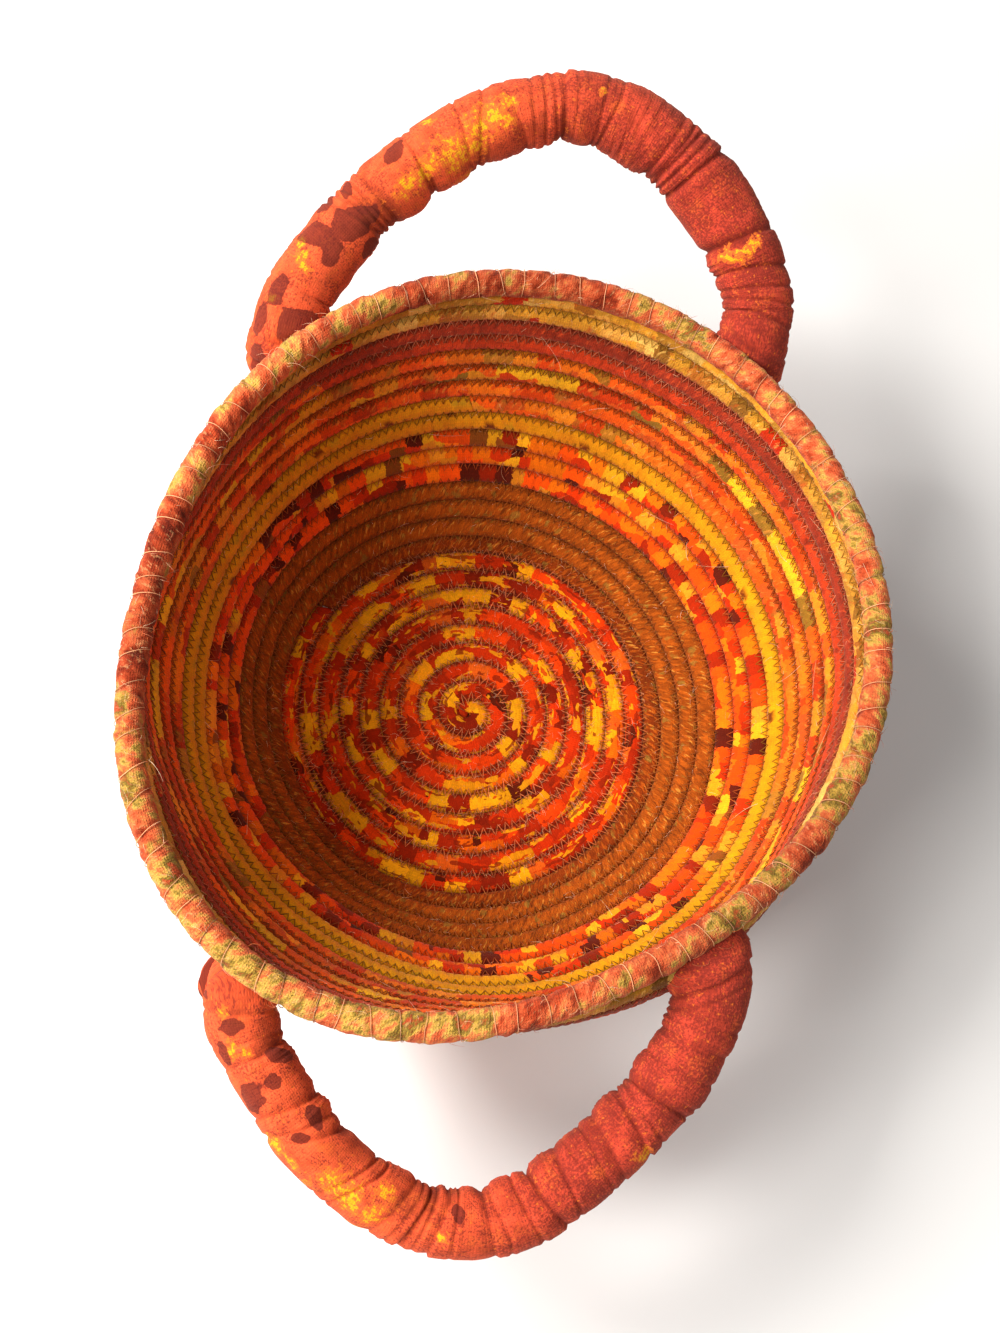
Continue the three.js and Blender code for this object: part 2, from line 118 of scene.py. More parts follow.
DS, S_FLAT = 0.02, 8.0
S_MID = S_FLAT + (np.arange(930) + 0.5) * DS
S_GRID = S_FLAT + np.arange(931) * DS


def slope_at(s, lean, a, b):
    own = np.stack([np.interp(s[0], LEAN_S, row) for row in lean])
    return (np.radians(np.interp(s, SLOPE[:, 0], SLOPE[:, 1]) + smooth(8.6, 9.4, s) * own) + a * (smooth(8.8, 10.2, s) - smooth(12.5, 15.0, s))
            + b * smooth(12.0, 17.0, s))


def integrate(lean, a, b):
    p = slope_at(S_MID[None, :], lean, a[:, None], b[:, None])
    z0 = np.zeros((len(lean), 1))
    r = S_FLAT * PITCH + np.concatenate([z0, np.cumsum(np.cos(p), 1)], 1) * DS * PITCH
    z = HALF_T + np.concatenate([z0, np.cumsum(np.sin(p), 1)], 1) * DS * PITCH
    return r, z


def make_tables():
    az = np.arange(0, 361, 1.0)
    lean = lean_at(az)
    rt, zt = series(RIM_RADIUS, az), series(RIM_HEIGHT, az)
    at = lambda q: np.array([np.interp(RIM_SIGMA, S_GRID, row) for row in q])
    a, b = np.zeros_like(az), np.zeros_like(az)
    for _ in range(5):
        h = 1e-4
        f = lambda x, y: (lambda q: (at(q[0]) - rt, at(q[1]) - zt))(integrate(lean, x, y))
        e0, e1 = f(a, b)
        p0, p1 = f(a + h, b)
        q0, q1 = f(a, b + h)
        j00, j10, j01, j11 = (p0 - e0) / h, (p1 - e1) / h, (q0 - e0) / h, (q1 - e1) / h
        aa, ab, bb = j00 ** 2 + j10 ** 2 + STIFFNESS, j00 * j01 + j10 * j11, j01 ** 2 + j11 ** 2 + STIFFNESS
        g, k = j00 * e0 + j10 * e1 + STIFFNESS * a, j01 * e0 + j11 * e1 + STIFFNESS * b
        det = aa * bb - ab * ab
        a, b = a - (bb * g - ab * k) / det, b - (aa * k - ab * g) / det
    r, z = integrate(lean, a, b)
    phi = slope_at(S_GRID[None, :], lean, a[:, None], b[:, None])
    return r, z, phi


TR, TZ, TP = make_tables()


def wall(s, az):
    """Radius, height and slope of the middle of the wall, at s courses from the centre."""
    s, az = np.broadcast_arrays(np.asarray(s, float), np.asarray(az, float))
    x = np.clip((s - S_FLAT) / DS, 0, 929.999)
    i = x.astype(int)
    f = x - i
    y = az % 360
    j = np.minimum(y.astype(int), 359)
    t = y - j
    out = []
    for tab in (TR, TZ, TP):
        out.append((tab[j, i] * (1 - f) + tab[j, i + 1] * f) * (1 - t) + (tab[j + 1, i] * (1 - f) + tab[j + 1, i + 1] * f) * t)
    flat = s < S_FLAT
    r = np.where(flat, s * PITCH, out[0])
    z = np.where(flat, HALF_T, np.maximum(out[1], HALF_T * np.cos(out[2]) + 1.9 * np.sin(out[2])))
    return r, z, np.where(flat, 0.0, out[2])


def on_wall(s, az, n):
    """Point on the wall at s courses, azimuth az (degrees), n mm in from its middle."""
    r, z, p = wall(s, az)
    rr, zz = r - n * np.sin(p), z + n * np.cos(p)
    a = np.radians(az)
    return np.stack([rr * np.cos(a), rr * np.sin(a), zz], -1)


def wall_normal(s, az):
    """Unit vector towards the inside of the basket."""
    _, _, p = wall(s, az)
    a = np.radians(az)
    return np.stack([-np.sin(p) * np.cos(a), -np.sin(p) * np.sin(a), np.cos(p)], -1)


# ------------------------------------------------------------------ noise
def hash01(i, j, seed):
    n = (i.astype(np.int64) * 374761393 + j.astype(np.int64) * 668265263 + seed * 144665) & 0xFFFFFFFF
    n = ((n ^ (n >> 13)) * 1274126177) & 0xFFFFFFFF
    n = ((n ^ (n >> 16)) * 2246822519) & 0xFFFFFFFF
    return ((n ^ (n >> 15)) & 0xFFFFFF) / float(0xFFFFFF)


def noise2(x, y, seed, wrap_y=0):
    """Smooth value noise from -1 to 1; wrap_y is the whole number of cells that y repeats after."""
    x, y = np.broadcast_arrays(np.asarray(x, float), np.asarray(y, float))
    i, j = np.floor(x), np.floor(y)
    f, g = x - i, y - j
    f, g = f * f * (3 - 2 * f), g * g * (3 - 2 * g)
    j0, j1 = (j % wrap_y, (j + 1) % wrap_y) if wrap_y else (j, j + 1)
    a, b = hash01(i, j0, seed), hash01(i + 1, j0, seed)
    c, d = hash01(i, j1, seed), hash01(i + 1, j1, seed)
    return 2 * ((a * (1 - f) + b * f) * (1 - g) + (c * (1 - f) + d * f) * g) - 1


def noise1(x, seed):
    return noise2(x, np.zeros_like(np.asarray(x, float)), seed)


# ------------------------------------------------------------------ colours
def lin(hex_):
    c = np.array([(hex_ >> 16) & 255, (hex_ >> 8) & 255, hex_ & 255]) / 255.0
    return np.where(c <= 0.04045, c / 12.92, ((c + 0.055) / 1.055) ** 2.4)


YEL, AMB, GLD, ORG, RORG, RED, DRK, MAR, BRN, RUST, TAN, OLV, PALE, CORAL = [lin(h) for h in (
    0xFFC81E, 0xF7AE14, 0xEDA42E, 0xFF8212, 0xFF4E0C, 0xE2330A, 0xA8240A, 0x5E1808, 0xA8561E, 0x9C4016, 0xC98A48, 0x8E8426, 0xF2CC66, 0xF0683A)]


# ------------------------------------------------------------------ mesh makers
def new_mesh(name, verts, faces, corner_col=None, attrs=(), uv=None, smooth_shade=True):
    me = bpy.data.meshes.new(name)
    v = ((np.asarray(verts) + SHIFT) / 1000.0).astype(np.float32)
    f = np.asarray(faces, np.int32)
    me.vertices.add(len(v))
    me.vertices.foreach_set("co", v.ravel())
    me.loops.add(f.size)
    me.loops.foreach_set("vertex_index", f.ravel())
    me.polygons.add(len(f))
    me.polygons.foreach_set("loop_start", (np.arange(len(f)) * f.shape[1]).astype(np.int32))
    me.polygons.foreach_set("use_smooth", np.full(len(f), smooth_shade))
    me.update(calc_edges=True)
    if corner_col is not None:
        on_points = len(corner_col) == len(v)
        layer = me.color_attributes.new("Col", "FLOAT_COLOR", "POINT" if on_points else "CORNER")
        c = np.ones((len(v) if on_points else f.size, 4), np.float32)
        c[:, :3] = corner_col if on_points else np.repeat(corner_col, f.shape[1], 0)
        layer.data.foreach_set("color", c.ravel())
    for key, val in attrs:
        val = np.asarray(val, np.float32)
        if val.ndim == 2:
            me.attributes.new(key, "FLOAT_VECTOR", "POINT").data.foreach_set("vector", val.ravel())
        else:
            me.attributes.new(key, "FLOAT", "POINT").data.foreach_set("value", val)
    if uv is not None:
        me.uv_layers.new(name="OFBake").data.foreach_set("uv", np.asarray(uv, np.float32).ravel())
    o = bpy.data.objects.new(name, me)
    bpy.context.scene.collection.objects.link(o)
    return o


def tube_faces(n, k, start=0):
    i, j = np.meshgrid(np.arange(n - 1), np.arange(k), indexing="ij")
    i, j = i.ravel(), j.ravel()
    a, b = start + i * k + j, start + i * k + (j + 1) % k
    return np.stack([a, b, b + k, a + k], 1), i, j


def strip_uv(i, j, n, k, rows):
    """One turn of texture rows for a long tube: rings run along u, sides across v."""
    per = int(math.ceil((n - 1) / rows))
    row, col = i // per, i % per
    u0, u1 = col / per, (col + 1) / per
    pad = 0.06
    v0 = (row + pad + (1 - 2 * pad) * j / k) / rows
    v1 = (row + pad + (1 - 2 * pad) * (j + 1) / k) / rows
    return np.stack([np.stack([u0, v0], 1), np.stack([u0, v1], 1), np.stack([u1, v1], 1), np.stack([u1, v0], 1)], 1)


def grid_uv(count):
    """A texture cell of its own for each of many small faces."""
    side = int(math.ceil(math.sqrt(count)))
    q = np.arange(count)
    u, v = (q % side + 0.12) / side, (q // side + 0.12) / side
    e = 0.76 / side
    return np.stack([np.stack([u, v], 1), np.stack([u + e, v], 1), np.stack([u + e, v + e], 1), np.stack([u, v + e], 1)], 1)


def tubes(paths, radius, k=4, normals=None, taper=False):
    """Many open thread-like tubes of equal point count. paths (m, p, 3); closed at both ends."""
    m, p, _ = paths.shape
    t = np.gradient(paths, axis=1)
    t /= np.linalg.norm(t, axis=2, keepdims=True) + 1e-9
    ref = normals if normals is not None else np.tile(np.array([0.31, 0.17, 0.94]), (m, p, 1))
    b = np.cross(t, ref)
    b /= np.linalg.norm(b, axis=2, keepdims=True) + 1e-9
    a = np.cross(b, t)
    rad = np.broadcast_to(np.asarray(radius, float).reshape(-1, 1) if np.ndim(radius) == 1 else radius, (m, p)).copy()
    if taper:
        rad *= np.linspace(1, 0.35, p)[None, :]
    g = 2 * np.pi * (np.arange(k) + 0.5) / k
    ring = paths[:, :, None, :] + rad[:, :, None, None] * (np.cos(g)[None, None, :, None] * a[:, :, None, :] + np.sin(g)[None, None, :, None] * b[:, :, None, :])
    verts = ring.reshape(-1, 3)
    f, _, _ = tube_faces(p, k)
    f = (f[None] + (np.arange(m) * p * k)[:, None, None]).reshape(-1, 4)
    base = (np.arange(m) * p * k)[:, None]
    if k == 4:
        lo = np.stack([base[:, 0] + 3, base[:, 0] + 2, base[:, 0] + 1, base[:, 0]], 1)
        hi = lo[:, ::-1] + (p - 1) * k
        f = np.concatenate([f, lo, hi])
    return verts, f


def long_tube(path, normal, radius, k):
    """One long thread. path (n, 3), normal (n, 3)."""
    t = np.gradient(path, axis=0)
    t /= np.linalg.norm(t, axis=1, keepdims=True) + 1e-9
    b = np.cross(t, normal)
    b /= np.linalg.norm(b, axis=1, keepdims=True) + 1e-9
    a = np.cross(b, t)
    g = 2 * np.pi * (np.arange(k) + 0.5) / k
    ring = path[:, None, :] + radius * (np.cos(g)[None, :, None] * a[:, None, :] + np.sin(g)[None, :, None] * b[:, None, :])
    return ring.reshape(-1, 3)


# ------------------------------------------------------------------ the coil
T_START = 70.0
T_TAPER = 8784.0
ENDS = [("wrap_base", 3450.0), ("wrap_brown", 4822.0), ("wrap_patch", 5834.0), ("wrap_yellow", 6382.0),
        ("wrap_orange", 7792.0), ("wrap_red", 8425.0), ("wrap_gold", 9126.0)]
STITCH = 3.25         # one zig and one zag, mm along the seam
STITCH_W = 2.3        # each side of the seam, mm


def course(T):
    T = np.asarray(T, float)
    inner = (T - 360) / 360
    k = np.where(T <= T_TAPER, np.clip(T / 360, 0.05, 1.0), TOP_SEAM - inner)
    s = np.where(T <= T_TAPER, np.where(T < 360, T / 720, T / 360 - 0.5), inner + k / 2)
    return s, np.maximum(k, 0.05)


TD = np.arange(0, 9400, 0.5)
_seam = on_wall(TD / 360, AZ_0 - TD, 0.0)
SEAM_LEN = np.concatenate([[0], np.cumsum(np.linalg.norm(np.diff(_seam, axis=0), axis=1))])
_cs, _ck = course(TD)
_mid = on_wall(_cs, AZ_0 - TD, 0.0)
MID_LEN = np.concatenate([[0], np.cumsum(np.linalg.norm(np.diff(_mid, axis=0), axis=1))])
seam_len = lambda T: np.interp(T, TD, SEAM_LEN)
mid_len = lambda T: np.interp(T, TD, MID_LEN)
mid_T = lambda L: np.interp(L, MID_LEN, TD)
seam_T = lambda L: np.interp(L, SEAM_LEN, TD)


def fullness(s):
    """Half thickness of a course through the wall and how square its section is."""
    flat = 1 - smooth(8.4, 9.6, s)
    return 3.25 + 0.12 * (1 - flat), 2.9 + 0.1 * (1 - flat)


def surface_n(x, half, power, b):
    """Height of the course's surface at x mm from its middle line."""
    q = np.clip(np.abs(x) / half, 0, 1)
    return b * (1 - q ** power) ** (1 / power)


def rope(T0, T1, step=1.0, k=18):
    L0, L1 = mid_len(T0), mid_len(T1)
    n = int((L1 - L0) / step) + 1
    L = np.linspace(L0, L1, n)
    T = mid_T(L)
    v = 2 * np.pi * np.arange(k) / k
    s, kk = course(T)
    b, power = fullness(s)
    cv, sv = np.cos(v), np.sin(v)
    ex = 2 / power[:, None]
    x = 4.04 * kk[:, None] * np.sign(cv) * np.abs(cv) ** ex
    y = b[:, None] * np.sign(sv) * np.abs(sv) ** ex * np.sqrt(np.clip(kk, 0.3, 1))[:, None]
    # the cloth strip is wound on a slant, so rings lean along the course
    lean = -1.3 * x / 4.0 * kk[:, None]
    r_mid = np.maximum(wall(s, AZ_0 - T)[0], 3.0)
    Tv = T[:, None] + np.degrees(lean / r_mid[:, None])
    Lv = L[:, None] + lean
    # cloth: slow swelling, fine puckers and the edges of the wound strip
    d = 0.10 * noise1(L / 11, 3)[:, None] + 0.09 * noise2(Lv / 1.7, np.broadcast_to(v / (2 * np.pi) * 9, Lv.shape), 5, 9)
    d = d + 0.07 * noise2(Lv / 0.9, np.broadcast_to(v / (2 * np.pi) * 14, Lv.shape), 6, 14)
    turn = Lv / 10.5 + 0.5 * noise1(L / 40, 9)[:, None] - v[None, :] / (2 * np.pi)
    saw = turn - np.floor(turn)
    d = d + 0.26 * (1 - saw) * smooth(0.0, 0.06, saw) - 0.10
    # each stitch pulls the cloth in where its needle went
    for side in (1, -1):
        Ls = seam_len(Tv if side > 0 else np.maximum(Tv - 360, 0))
        ph = Ls / STITCH + (0.5 if side > 0 else 0.0)
        dip = (0.5 + 0.5 * np.cos(2 * np.pi * ph)) ** 1.5
        d = d - 0.42 * dip * np.exp(-((side * x - 1.95 * kk[:, None]) / 1.15) ** 2)
        d = d - 0.10 * np.exp(-((side * x - 2.6 * kk[:, None]) / 1.0) ** 2)
    ln = np.hypot(x, y) + 1e-6
    x, y = x + d * x / ln * 0.35, y + d * y / ln
    end0, end1 = np.minimum(1, (L - L0) / 1.5), np.minimum(1, (L1 - L) / 1.5)
    close = np.sqrt(np.clip(1 - (1 - np.minimum(end0, end1)) ** 2, 0, 1))
    lo = 0.93 if T0 > 400 else 0.15
    shrink = (lo + (1 - lo) * close)[:, None]
    x, y = x * shrink, y * shrink
    P = on_wall(s[:, None] + x / PITCH, AZ_0 - Tv, y)
    return P, L, Lv, v, x, y, T, s


def seam_colours(name, L, v, x, T):
    """Colour at each point of a course: white with painted shade in the seams and on the outer and
    under face, for prints made in the material, or the cloth's own colour times that painted shade for the plain
    strips."""
    # painted shade: darker into the seams between courses, and the outer and under face of each course a quarter darker
    painted_seam_shade = 1 - (0.34 - 0.09 * (T < 4822)) * smooth(3.0, 4.0, np.abs(x))
    painted_seam_shade = painted_seam_shade * (1 - 0.25 * (np.sin(v) < 0))[...]
    if name == "wrap_brown":
        first = smooth(0, 1, (3450 + 420 - T) / 200)
        c = lin(0x96440C) * (1 - first)[..., None] + lin(0x7E3008) * first[..., None]
        c = c * (1 + 0.18 * noise2(L / 14, v, 21))[..., None]
        # painted light: the brown course is lighter towards azimuths 90 and 270, the top and bottom of the view
        c = c * (1 + 0.22 * np.sin(np.radians(AZ_0 - T)) ** 2 + 0 * L)[..., None]
    elif name == "wrap_yellow":
        c = (lin(0xF0A80C) * 0.45 + lin(0xE89A10) * 0.45) * (1 + 0.14 * noise2(L / 5.0, v, 41) + 0.10 * noise2(L / 22.0, v * 0.5, 43))[..., None]
        w = 0.15 + 0.15 * np.cos(np.radians(AZ_0 - T - 100)) + 0.30 * np.clip(noise2(L / 3.2, v * 1.2, 47), 0, 1)
        c = c * (1 - w)[..., None] + 0.85 * lin(0xDC6A16) * w[..., None]
        sp = hash01(np.floor(L / 4.0), np.floor(v * 1.4), 42)
        c = np.where((sp > 0.975)[..., None], lin(0x7A3408), c)
        c = np.where(((sp > 0.93) & (sp <= 0.975))[..., None], lin(0xC89018), c)
    elif name == "wrap_red":
        k = smooth(7792 + 200, 7792 + 480, T)[..., None]
        c = lin(0xC83C16) * (1 - k) + lin(0x98301A) * k
        c = c * (1 + 0.22 * noise2(L / 7, v * 0.8, 61) + 0.12 * noise2(L / 2.2, v * 1.6, 62))[..., None]
    else:
        c = np.ones(L.shape + (3,))
    return c * painted_seam_shade[..., None]


# ------------------------------------------------------------------ materials
def base_material(name, rough=0.92, sheen=0.03, sheen_rough=0.5):
    m = bpy.data.materials.new(name)
    m.use_nodes = True
    nt = m.node_tree
    bsdf = nt.nodes["Principled BSDF"]
    bsdf.inputs["Roughness"].default_value = rough
    bsdf.inputs["Specular IOR Level"].default_value = 0.08
    bsdf.inputs["Sheen Weight"].default_value = sheen
    bsdf.inputs["Sheen Roughness"].default_value = sheen_rough
    bsdf.inputs["Sheen Tint"].default_value = (1.0, 0.66, 0.50, 1)
    return m, nt, bsdf


def node(nt, kind, **vals):
    n = nt.nodes.new(kind)
    for k, v in vals.items():
        if k.startswith("in_"):
            n.inputs[int(k[3:]) if k[3:].isdigit() else k[3:].replace("_", " ")].default_value = v
        else:
            setattr(n, k, v)
    return n


def math_node(nt, op, a, b=None, c=None, clamp=False):
    n = nt.nodes.new("ShaderNodeMath")
    n.operation = op
    n.use_clamp = clamp
    for i, x in enumerate((a, b, c)):
        if x is None:
            continue
        if isinstance(x, (int, float)):
            n.inputs[i].default_value = x
        else:
            nt.links.new(x, n.inputs[i])
    return n.outputs[0]


def mix_col(nt, fac, a, b):
    mx = node(nt, "ShaderNodeMix", data_type="RGBA")
    for i, x in ((0, fac), (6, a), (7, b)):
        if isinstance(x, (int, float)):
            mx.inputs[i].default_value = x
        elif isinstance(x, (tuple, list, np.ndarray)):
            mx.inputs[i].default_value = (float(x[0]), float(x[1]), float(x[2]), 1)
        else:
            nt.links.new(x, mx.inputs[i])
    return mx.outputs[2]


def scale_col(nt, col, fac):
    vm = node(nt, "ShaderNodeVectorMath", operation="SCALE")
    nt.links.new(col, vm.inputs[0])
    nt.links.new(fac, vm.inputs["Scale"])
    return vm.outputs[0]


def step_node(nt, x, lo, hi, top=1.0):
    r = node(nt, "ShaderNodeMapRange", interpolation_type="SMOOTHSTEP")
    r.inputs["From Min"].default_value, r.inputs["From Max"].default_value = lo, hi
    r.inputs["To Max"].default_value = top
    nt.links.new(x, r.inputs["Value"])
    return r.outputs[0]


class Cloth:
    """Noise in the cloth's own coordinates: attribute "cloth" holds mm along, mm round and a row number."""

    def __init__(self, m, nt):
        self.nt = nt
        at = node(nt, "ShaderNodeAttribute", attribute_name="cloth")
        self.vec = at.outputs["Vector"]
        sp = node(nt, "ShaderNodeSeparateXYZ")
        nt.links.new(self.vec, sp.inputs[0])
        self.along, self.round_ = sp.outputs[0], sp.outputs[1]

    def noise(self, sx, sy, detail=2.0, rough=0.55, shear=0.0, off=0.0):
        """Noise with sx, sy features per mm along and round; shear slants it."""
        nt = self.nt
        x = math_node(nt, "MULTIPLY_ADD", self.round_, shear, self.along) if shear else self.along
        cb = node(nt, "ShaderNodeCombineXYZ")
        nt.links.new(math_node(nt, "MULTIPLY_ADD", x, sx, off), cb.inputs[0])
        nt.links.new(math_node(nt, "MULTIPLY", self.round_, sy), cb.inputs[1])
        cb.inputs[2].default_value = off * 0.37
        n = node(nt, "ShaderNodeTexNoise")
        n.inputs["Scale"].default_value, n.inputs["Detail"].default_value, n.inputs["Roughness"].default_value = 1.0, detail, rough
        nt.links.new(cb.outputs[0], n.inputs["Vector"])
        return n.outputs["Fac"]

    def weave(self):
        nt = self.nt
        h = []
        for d in "XY":
            wa = node(nt, "ShaderNodeTexWave", wave_type="BANDS", bands_direction=d)
            wa.inputs["Scale"].default_value, wa.inputs["Distortion"].default_value = 0.36, 0.6
            nt.links.new(self.vec, wa.inputs["Vector"])
            h.append(wa.outputs["Fac"])
        return math_node(nt, "MULTIPLY", h[0], h[1])

    def blocks(self, length, palette, weights, off, ragged=1.3, cut=5.8, merge=0.5, soft=False):
        """A pieced print as it shows on a wound strip: blocks of random length in two lanes."""
        nt = self.nt
        rag = math_node(nt, "SUBTRACT", self.noise(0.7, 0.55, 2.0, 0.6, off=off), 0.5)
        x = math_node(nt, "MULTIPLY_ADD", rag, 2 * ragged, self.along)
        wander = math_node(nt, "MULTIPLY_ADD", math_node(nt, "SUBTRACT", self.noise(0.07, 0.0, 1.0, off=off + 3), 0.5), 9.0, cut)
        lane = math_node(nt, "GREATER_THAN", math_node(nt, "ADD", self.round_, math_node(nt, "MULTIPLY", rag, 1.6)), wander)

        def cells(w):
            v = node(nt, "ShaderNodeTexVoronoi", voronoi_dimensions="1D")
            v.inputs["Scale"].default_value = 1.0
            v.inputs["Randomness"].default_value = 0.9
            nt.links.new(w, v.inputs["W"])
            sep = node(nt, "ShaderNodeSeparateColor")
            nt.links.new(v.outputs["Color"], sep.inputs[0])
            return sep.outputs[0], sep.outputs[1]

        join, _ = cells(math_node(nt, "MULTIPLY_ADD", x, 1 / (2.2 * length), 31.7 + off))
        lane = math_node(nt, "MULTIPLY", lane, math_node(nt, "GREATER_THAN", join, merge))
        w = math_node(nt, "MULTIPLY_ADD", x, 1 / length, math_node(nt, "MULTIPLY_ADD", lane, 5003.3, off))
        key, key2 = cells(w)
        ramp = node(nt, "ShaderNodeValToRGB")
        ramp.color_ramp.interpolation = "CONSTANT"
        el = ramp.color_ramp.elements
        edges = np.concatenate([[0], np.cumsum(weights) / np.sum(weights)])[:-1]
        while len(el) < len(palette):
            el.new(0.5)
        for e_, q, c in zip(el, edges, palette):
            e_.position = float(q)
        for e_, q, c in zip(el, edges, palette):
            e_.color = (float(c[0]), float(c[1]), float(c[2]), 1)
        nt.links.new(key, ramp.inputs[0])
        # every block's dye is a little different
        return scale_col(nt, ramp.outputs[0], math_node(nt, "MULTIPLY_ADD", key2, 0.36, 0.82))


def cotton(name, colour=None, mottle=0.16, weave=0.32, speck=0.0, speck_col=(0.05, 0.01, 0.003), bump=0.35, strokes=(), sheen=0.16):
    """Printed cotton. The print comes from the Col attribute, which also carries painted shade, or from colour(cloth),
    which makes nodes; then strokes of other colours, stray specks, the dye's unevenness and the weave."""
    m, nt, bsdf = base_material(name, sheen=sheen)
    L = nt.links
    cl = Cloth(m, nt)
    col = node(nt, "ShaderNodeAttribute", attribute_name="Col").outputs["Color"]
    if colour is not None:
        # Col then only carries painted shade, in the seams and creases
        own = colour(cl, col)
        vm = node(nt, "ShaderNodeVectorMath", operation="MULTIPLY")
        L.new(own, vm.inputs[0])
        L.new(col, vm.inputs[1])
        col = vm.outputs[0]
    relief = None
    for sx, sy, shear, lo, hi, top, c, off in strokes:
        n = cl.noise(sx, sy, 2.0, 0.5, shear, off)
        col = mix_col(nt, step_node(nt, n, lo, hi, top), col, c)
        relief = n if relief is None else relief
    n1 = cl.noise(0.34, 0.34, 3.0, off=1.3)
    n2 = cl.noise(1.7, 1.7, 2.0, off=2.1)
    wv = cl.weave()
    f = math_node(nt, "MULTIPLY_ADD", n1, 4 * mottle, 1 - 2 * mottle)
    g = math_node(nt, "MULTIPLY_ADD", n2, 3 * mottle, 1 - 1.5 * mottle)
    h = math_node(nt, "MULTIPLY_ADD", wv, weave * 0.5, 1 - weave * 0.2)
    col = scale_col(nt, col, math_node(nt, "MULTIPLY", math_node(nt, "MULTIPLY", f, g), h))
    if speck:
        sp = cl.noise(1.2, 1.2, 4.0, 0.7, off=7.7)
        col = mix_col(nt, step_node(nt, sp, 0.56, 0.68, speck), col, speck_col)
    L.new(col, bsdf.inputs["Base Color"])
    hs = math_node(nt, "MULTIPLY_ADD", n2, 0.8, math_node(nt, "MULTIPLY", wv, 0.25))
    if relief is not None:
        hs = math_node(nt, "MULTIPLY_ADD", relief, 0.9, hs)
    bp = node(nt, "ShaderNodeBump")
    bp.inputs["Strength"].default_value = bump
    bp.inputs["Distance"].default_value = 0.0007
    L.new(hs, bp.inputs["Height"])
    L.new(bp.outputs[0], bsdf.inputs["Normal"])
    L.new(math_node(nt, "MULTIPLY_ADD", n1, 0.12, 0.86), bsdf.inputs["Roughness"])
    return m


def thread_material(name):
    """Sewing thread: its colour varies slowly along the thread (Col) and with its twist."""
    m, nt, bsdf = base_material(name, 0.7, 0.1)
    L = nt.links
    col = node(nt, "ShaderNodeAttribute", attribute_name="Col")
    tc = node(nt, "ShaderNodeTexCoord")
    n = node(nt, "ShaderNodeTexNoise")
    n.inputs["Scale"].default_value, n.inputs["Detail"].default_value = 1400.0, 1.0
    L.new(tc.outputs["Object"], n.inputs["Vector"])
    L.new(scale_col(nt, col.outputs["Color"], math_node(nt, "MULTIPLY_ADD", n.outputs["Fac"], 0.5, 0.75)), bsdf.inputs["Base Color"])
    return m


def base_print(cl, _):
    pal = [lin(0xF4A410), lin(0xEA920E), lin(0xE86208), lin(0xE64006), lin(0xC83006), lin(0xA82606), lin(0x861E06), lin(0x5A1A08), lin(0xD85A14)]
    return cl.blocks(8.8, pal, [.14, .07, .07, .19, .22, .15, .09, .04, .05], 0.0, cut=6.0, merge=0.36, ragged=1.2)


def pieced_print(cl, _):
    pal = [lin(0xF07008), lin(0xEE4E06), lin(0xF2A818), lin(0xD63404), lin(0xA82604), lin(0x5C1808), lin(0x822006), lin(0xEC8E1C), lin(0x8E4A14)]
    return cl.blocks(6.6, pal, [.20, .25, .13, .14, .07, .08, .05, .05, .03], 11.0, cut=5.8, merge=0.32, ragged=1.5)


def orange_print(cl, _):
    """Mostly plain orange-red dyed unevenly; third course from the top with long yellow blocks."""
    nt = cl.nt
    plain = [lin(0xEE5A10), lin(0xF07414), lin(0xE2480C), lin(0xF08A1C), lin(0xD4541A), lin(0xB0701C), lin(0xC83A0C)]
    c = cl.blocks(10.5, plain, [.26, .17, .20, .09, .12, .05, .11], 23.0, ragged=2.4, merge=0.42)
    long_ = [lin(0xEE5A10), lin(0xF4B01C), lin(0xDC8A1C), lin(0xC83A0C), lin(0x966A1E), lin(0xF07A1C)]
    d = cl.blocks(14.0, long_, [.26, .26, .13, .15, .09, .11], 37.0, ragged=2.2, merge=0.45)
    k = node(nt, "ShaderNodeAttribute", attribute_name="mixk")
    return mix_col(nt, k.outputs["Fac"], c, d)


def gold_print(cl, _):
    pal = [GLD * 0.9, lin(0xC88A2C), lin(0xE0A040), lin(0xB46A20), RED * 0.7, lin(0xE8B858), lin(0x8A5A1C)]
    return cl.blocks(9.0, pal, [.28, .24, .16, .12, .05, .08, .07], 51.0, ragged=2.4, merge=0.5)


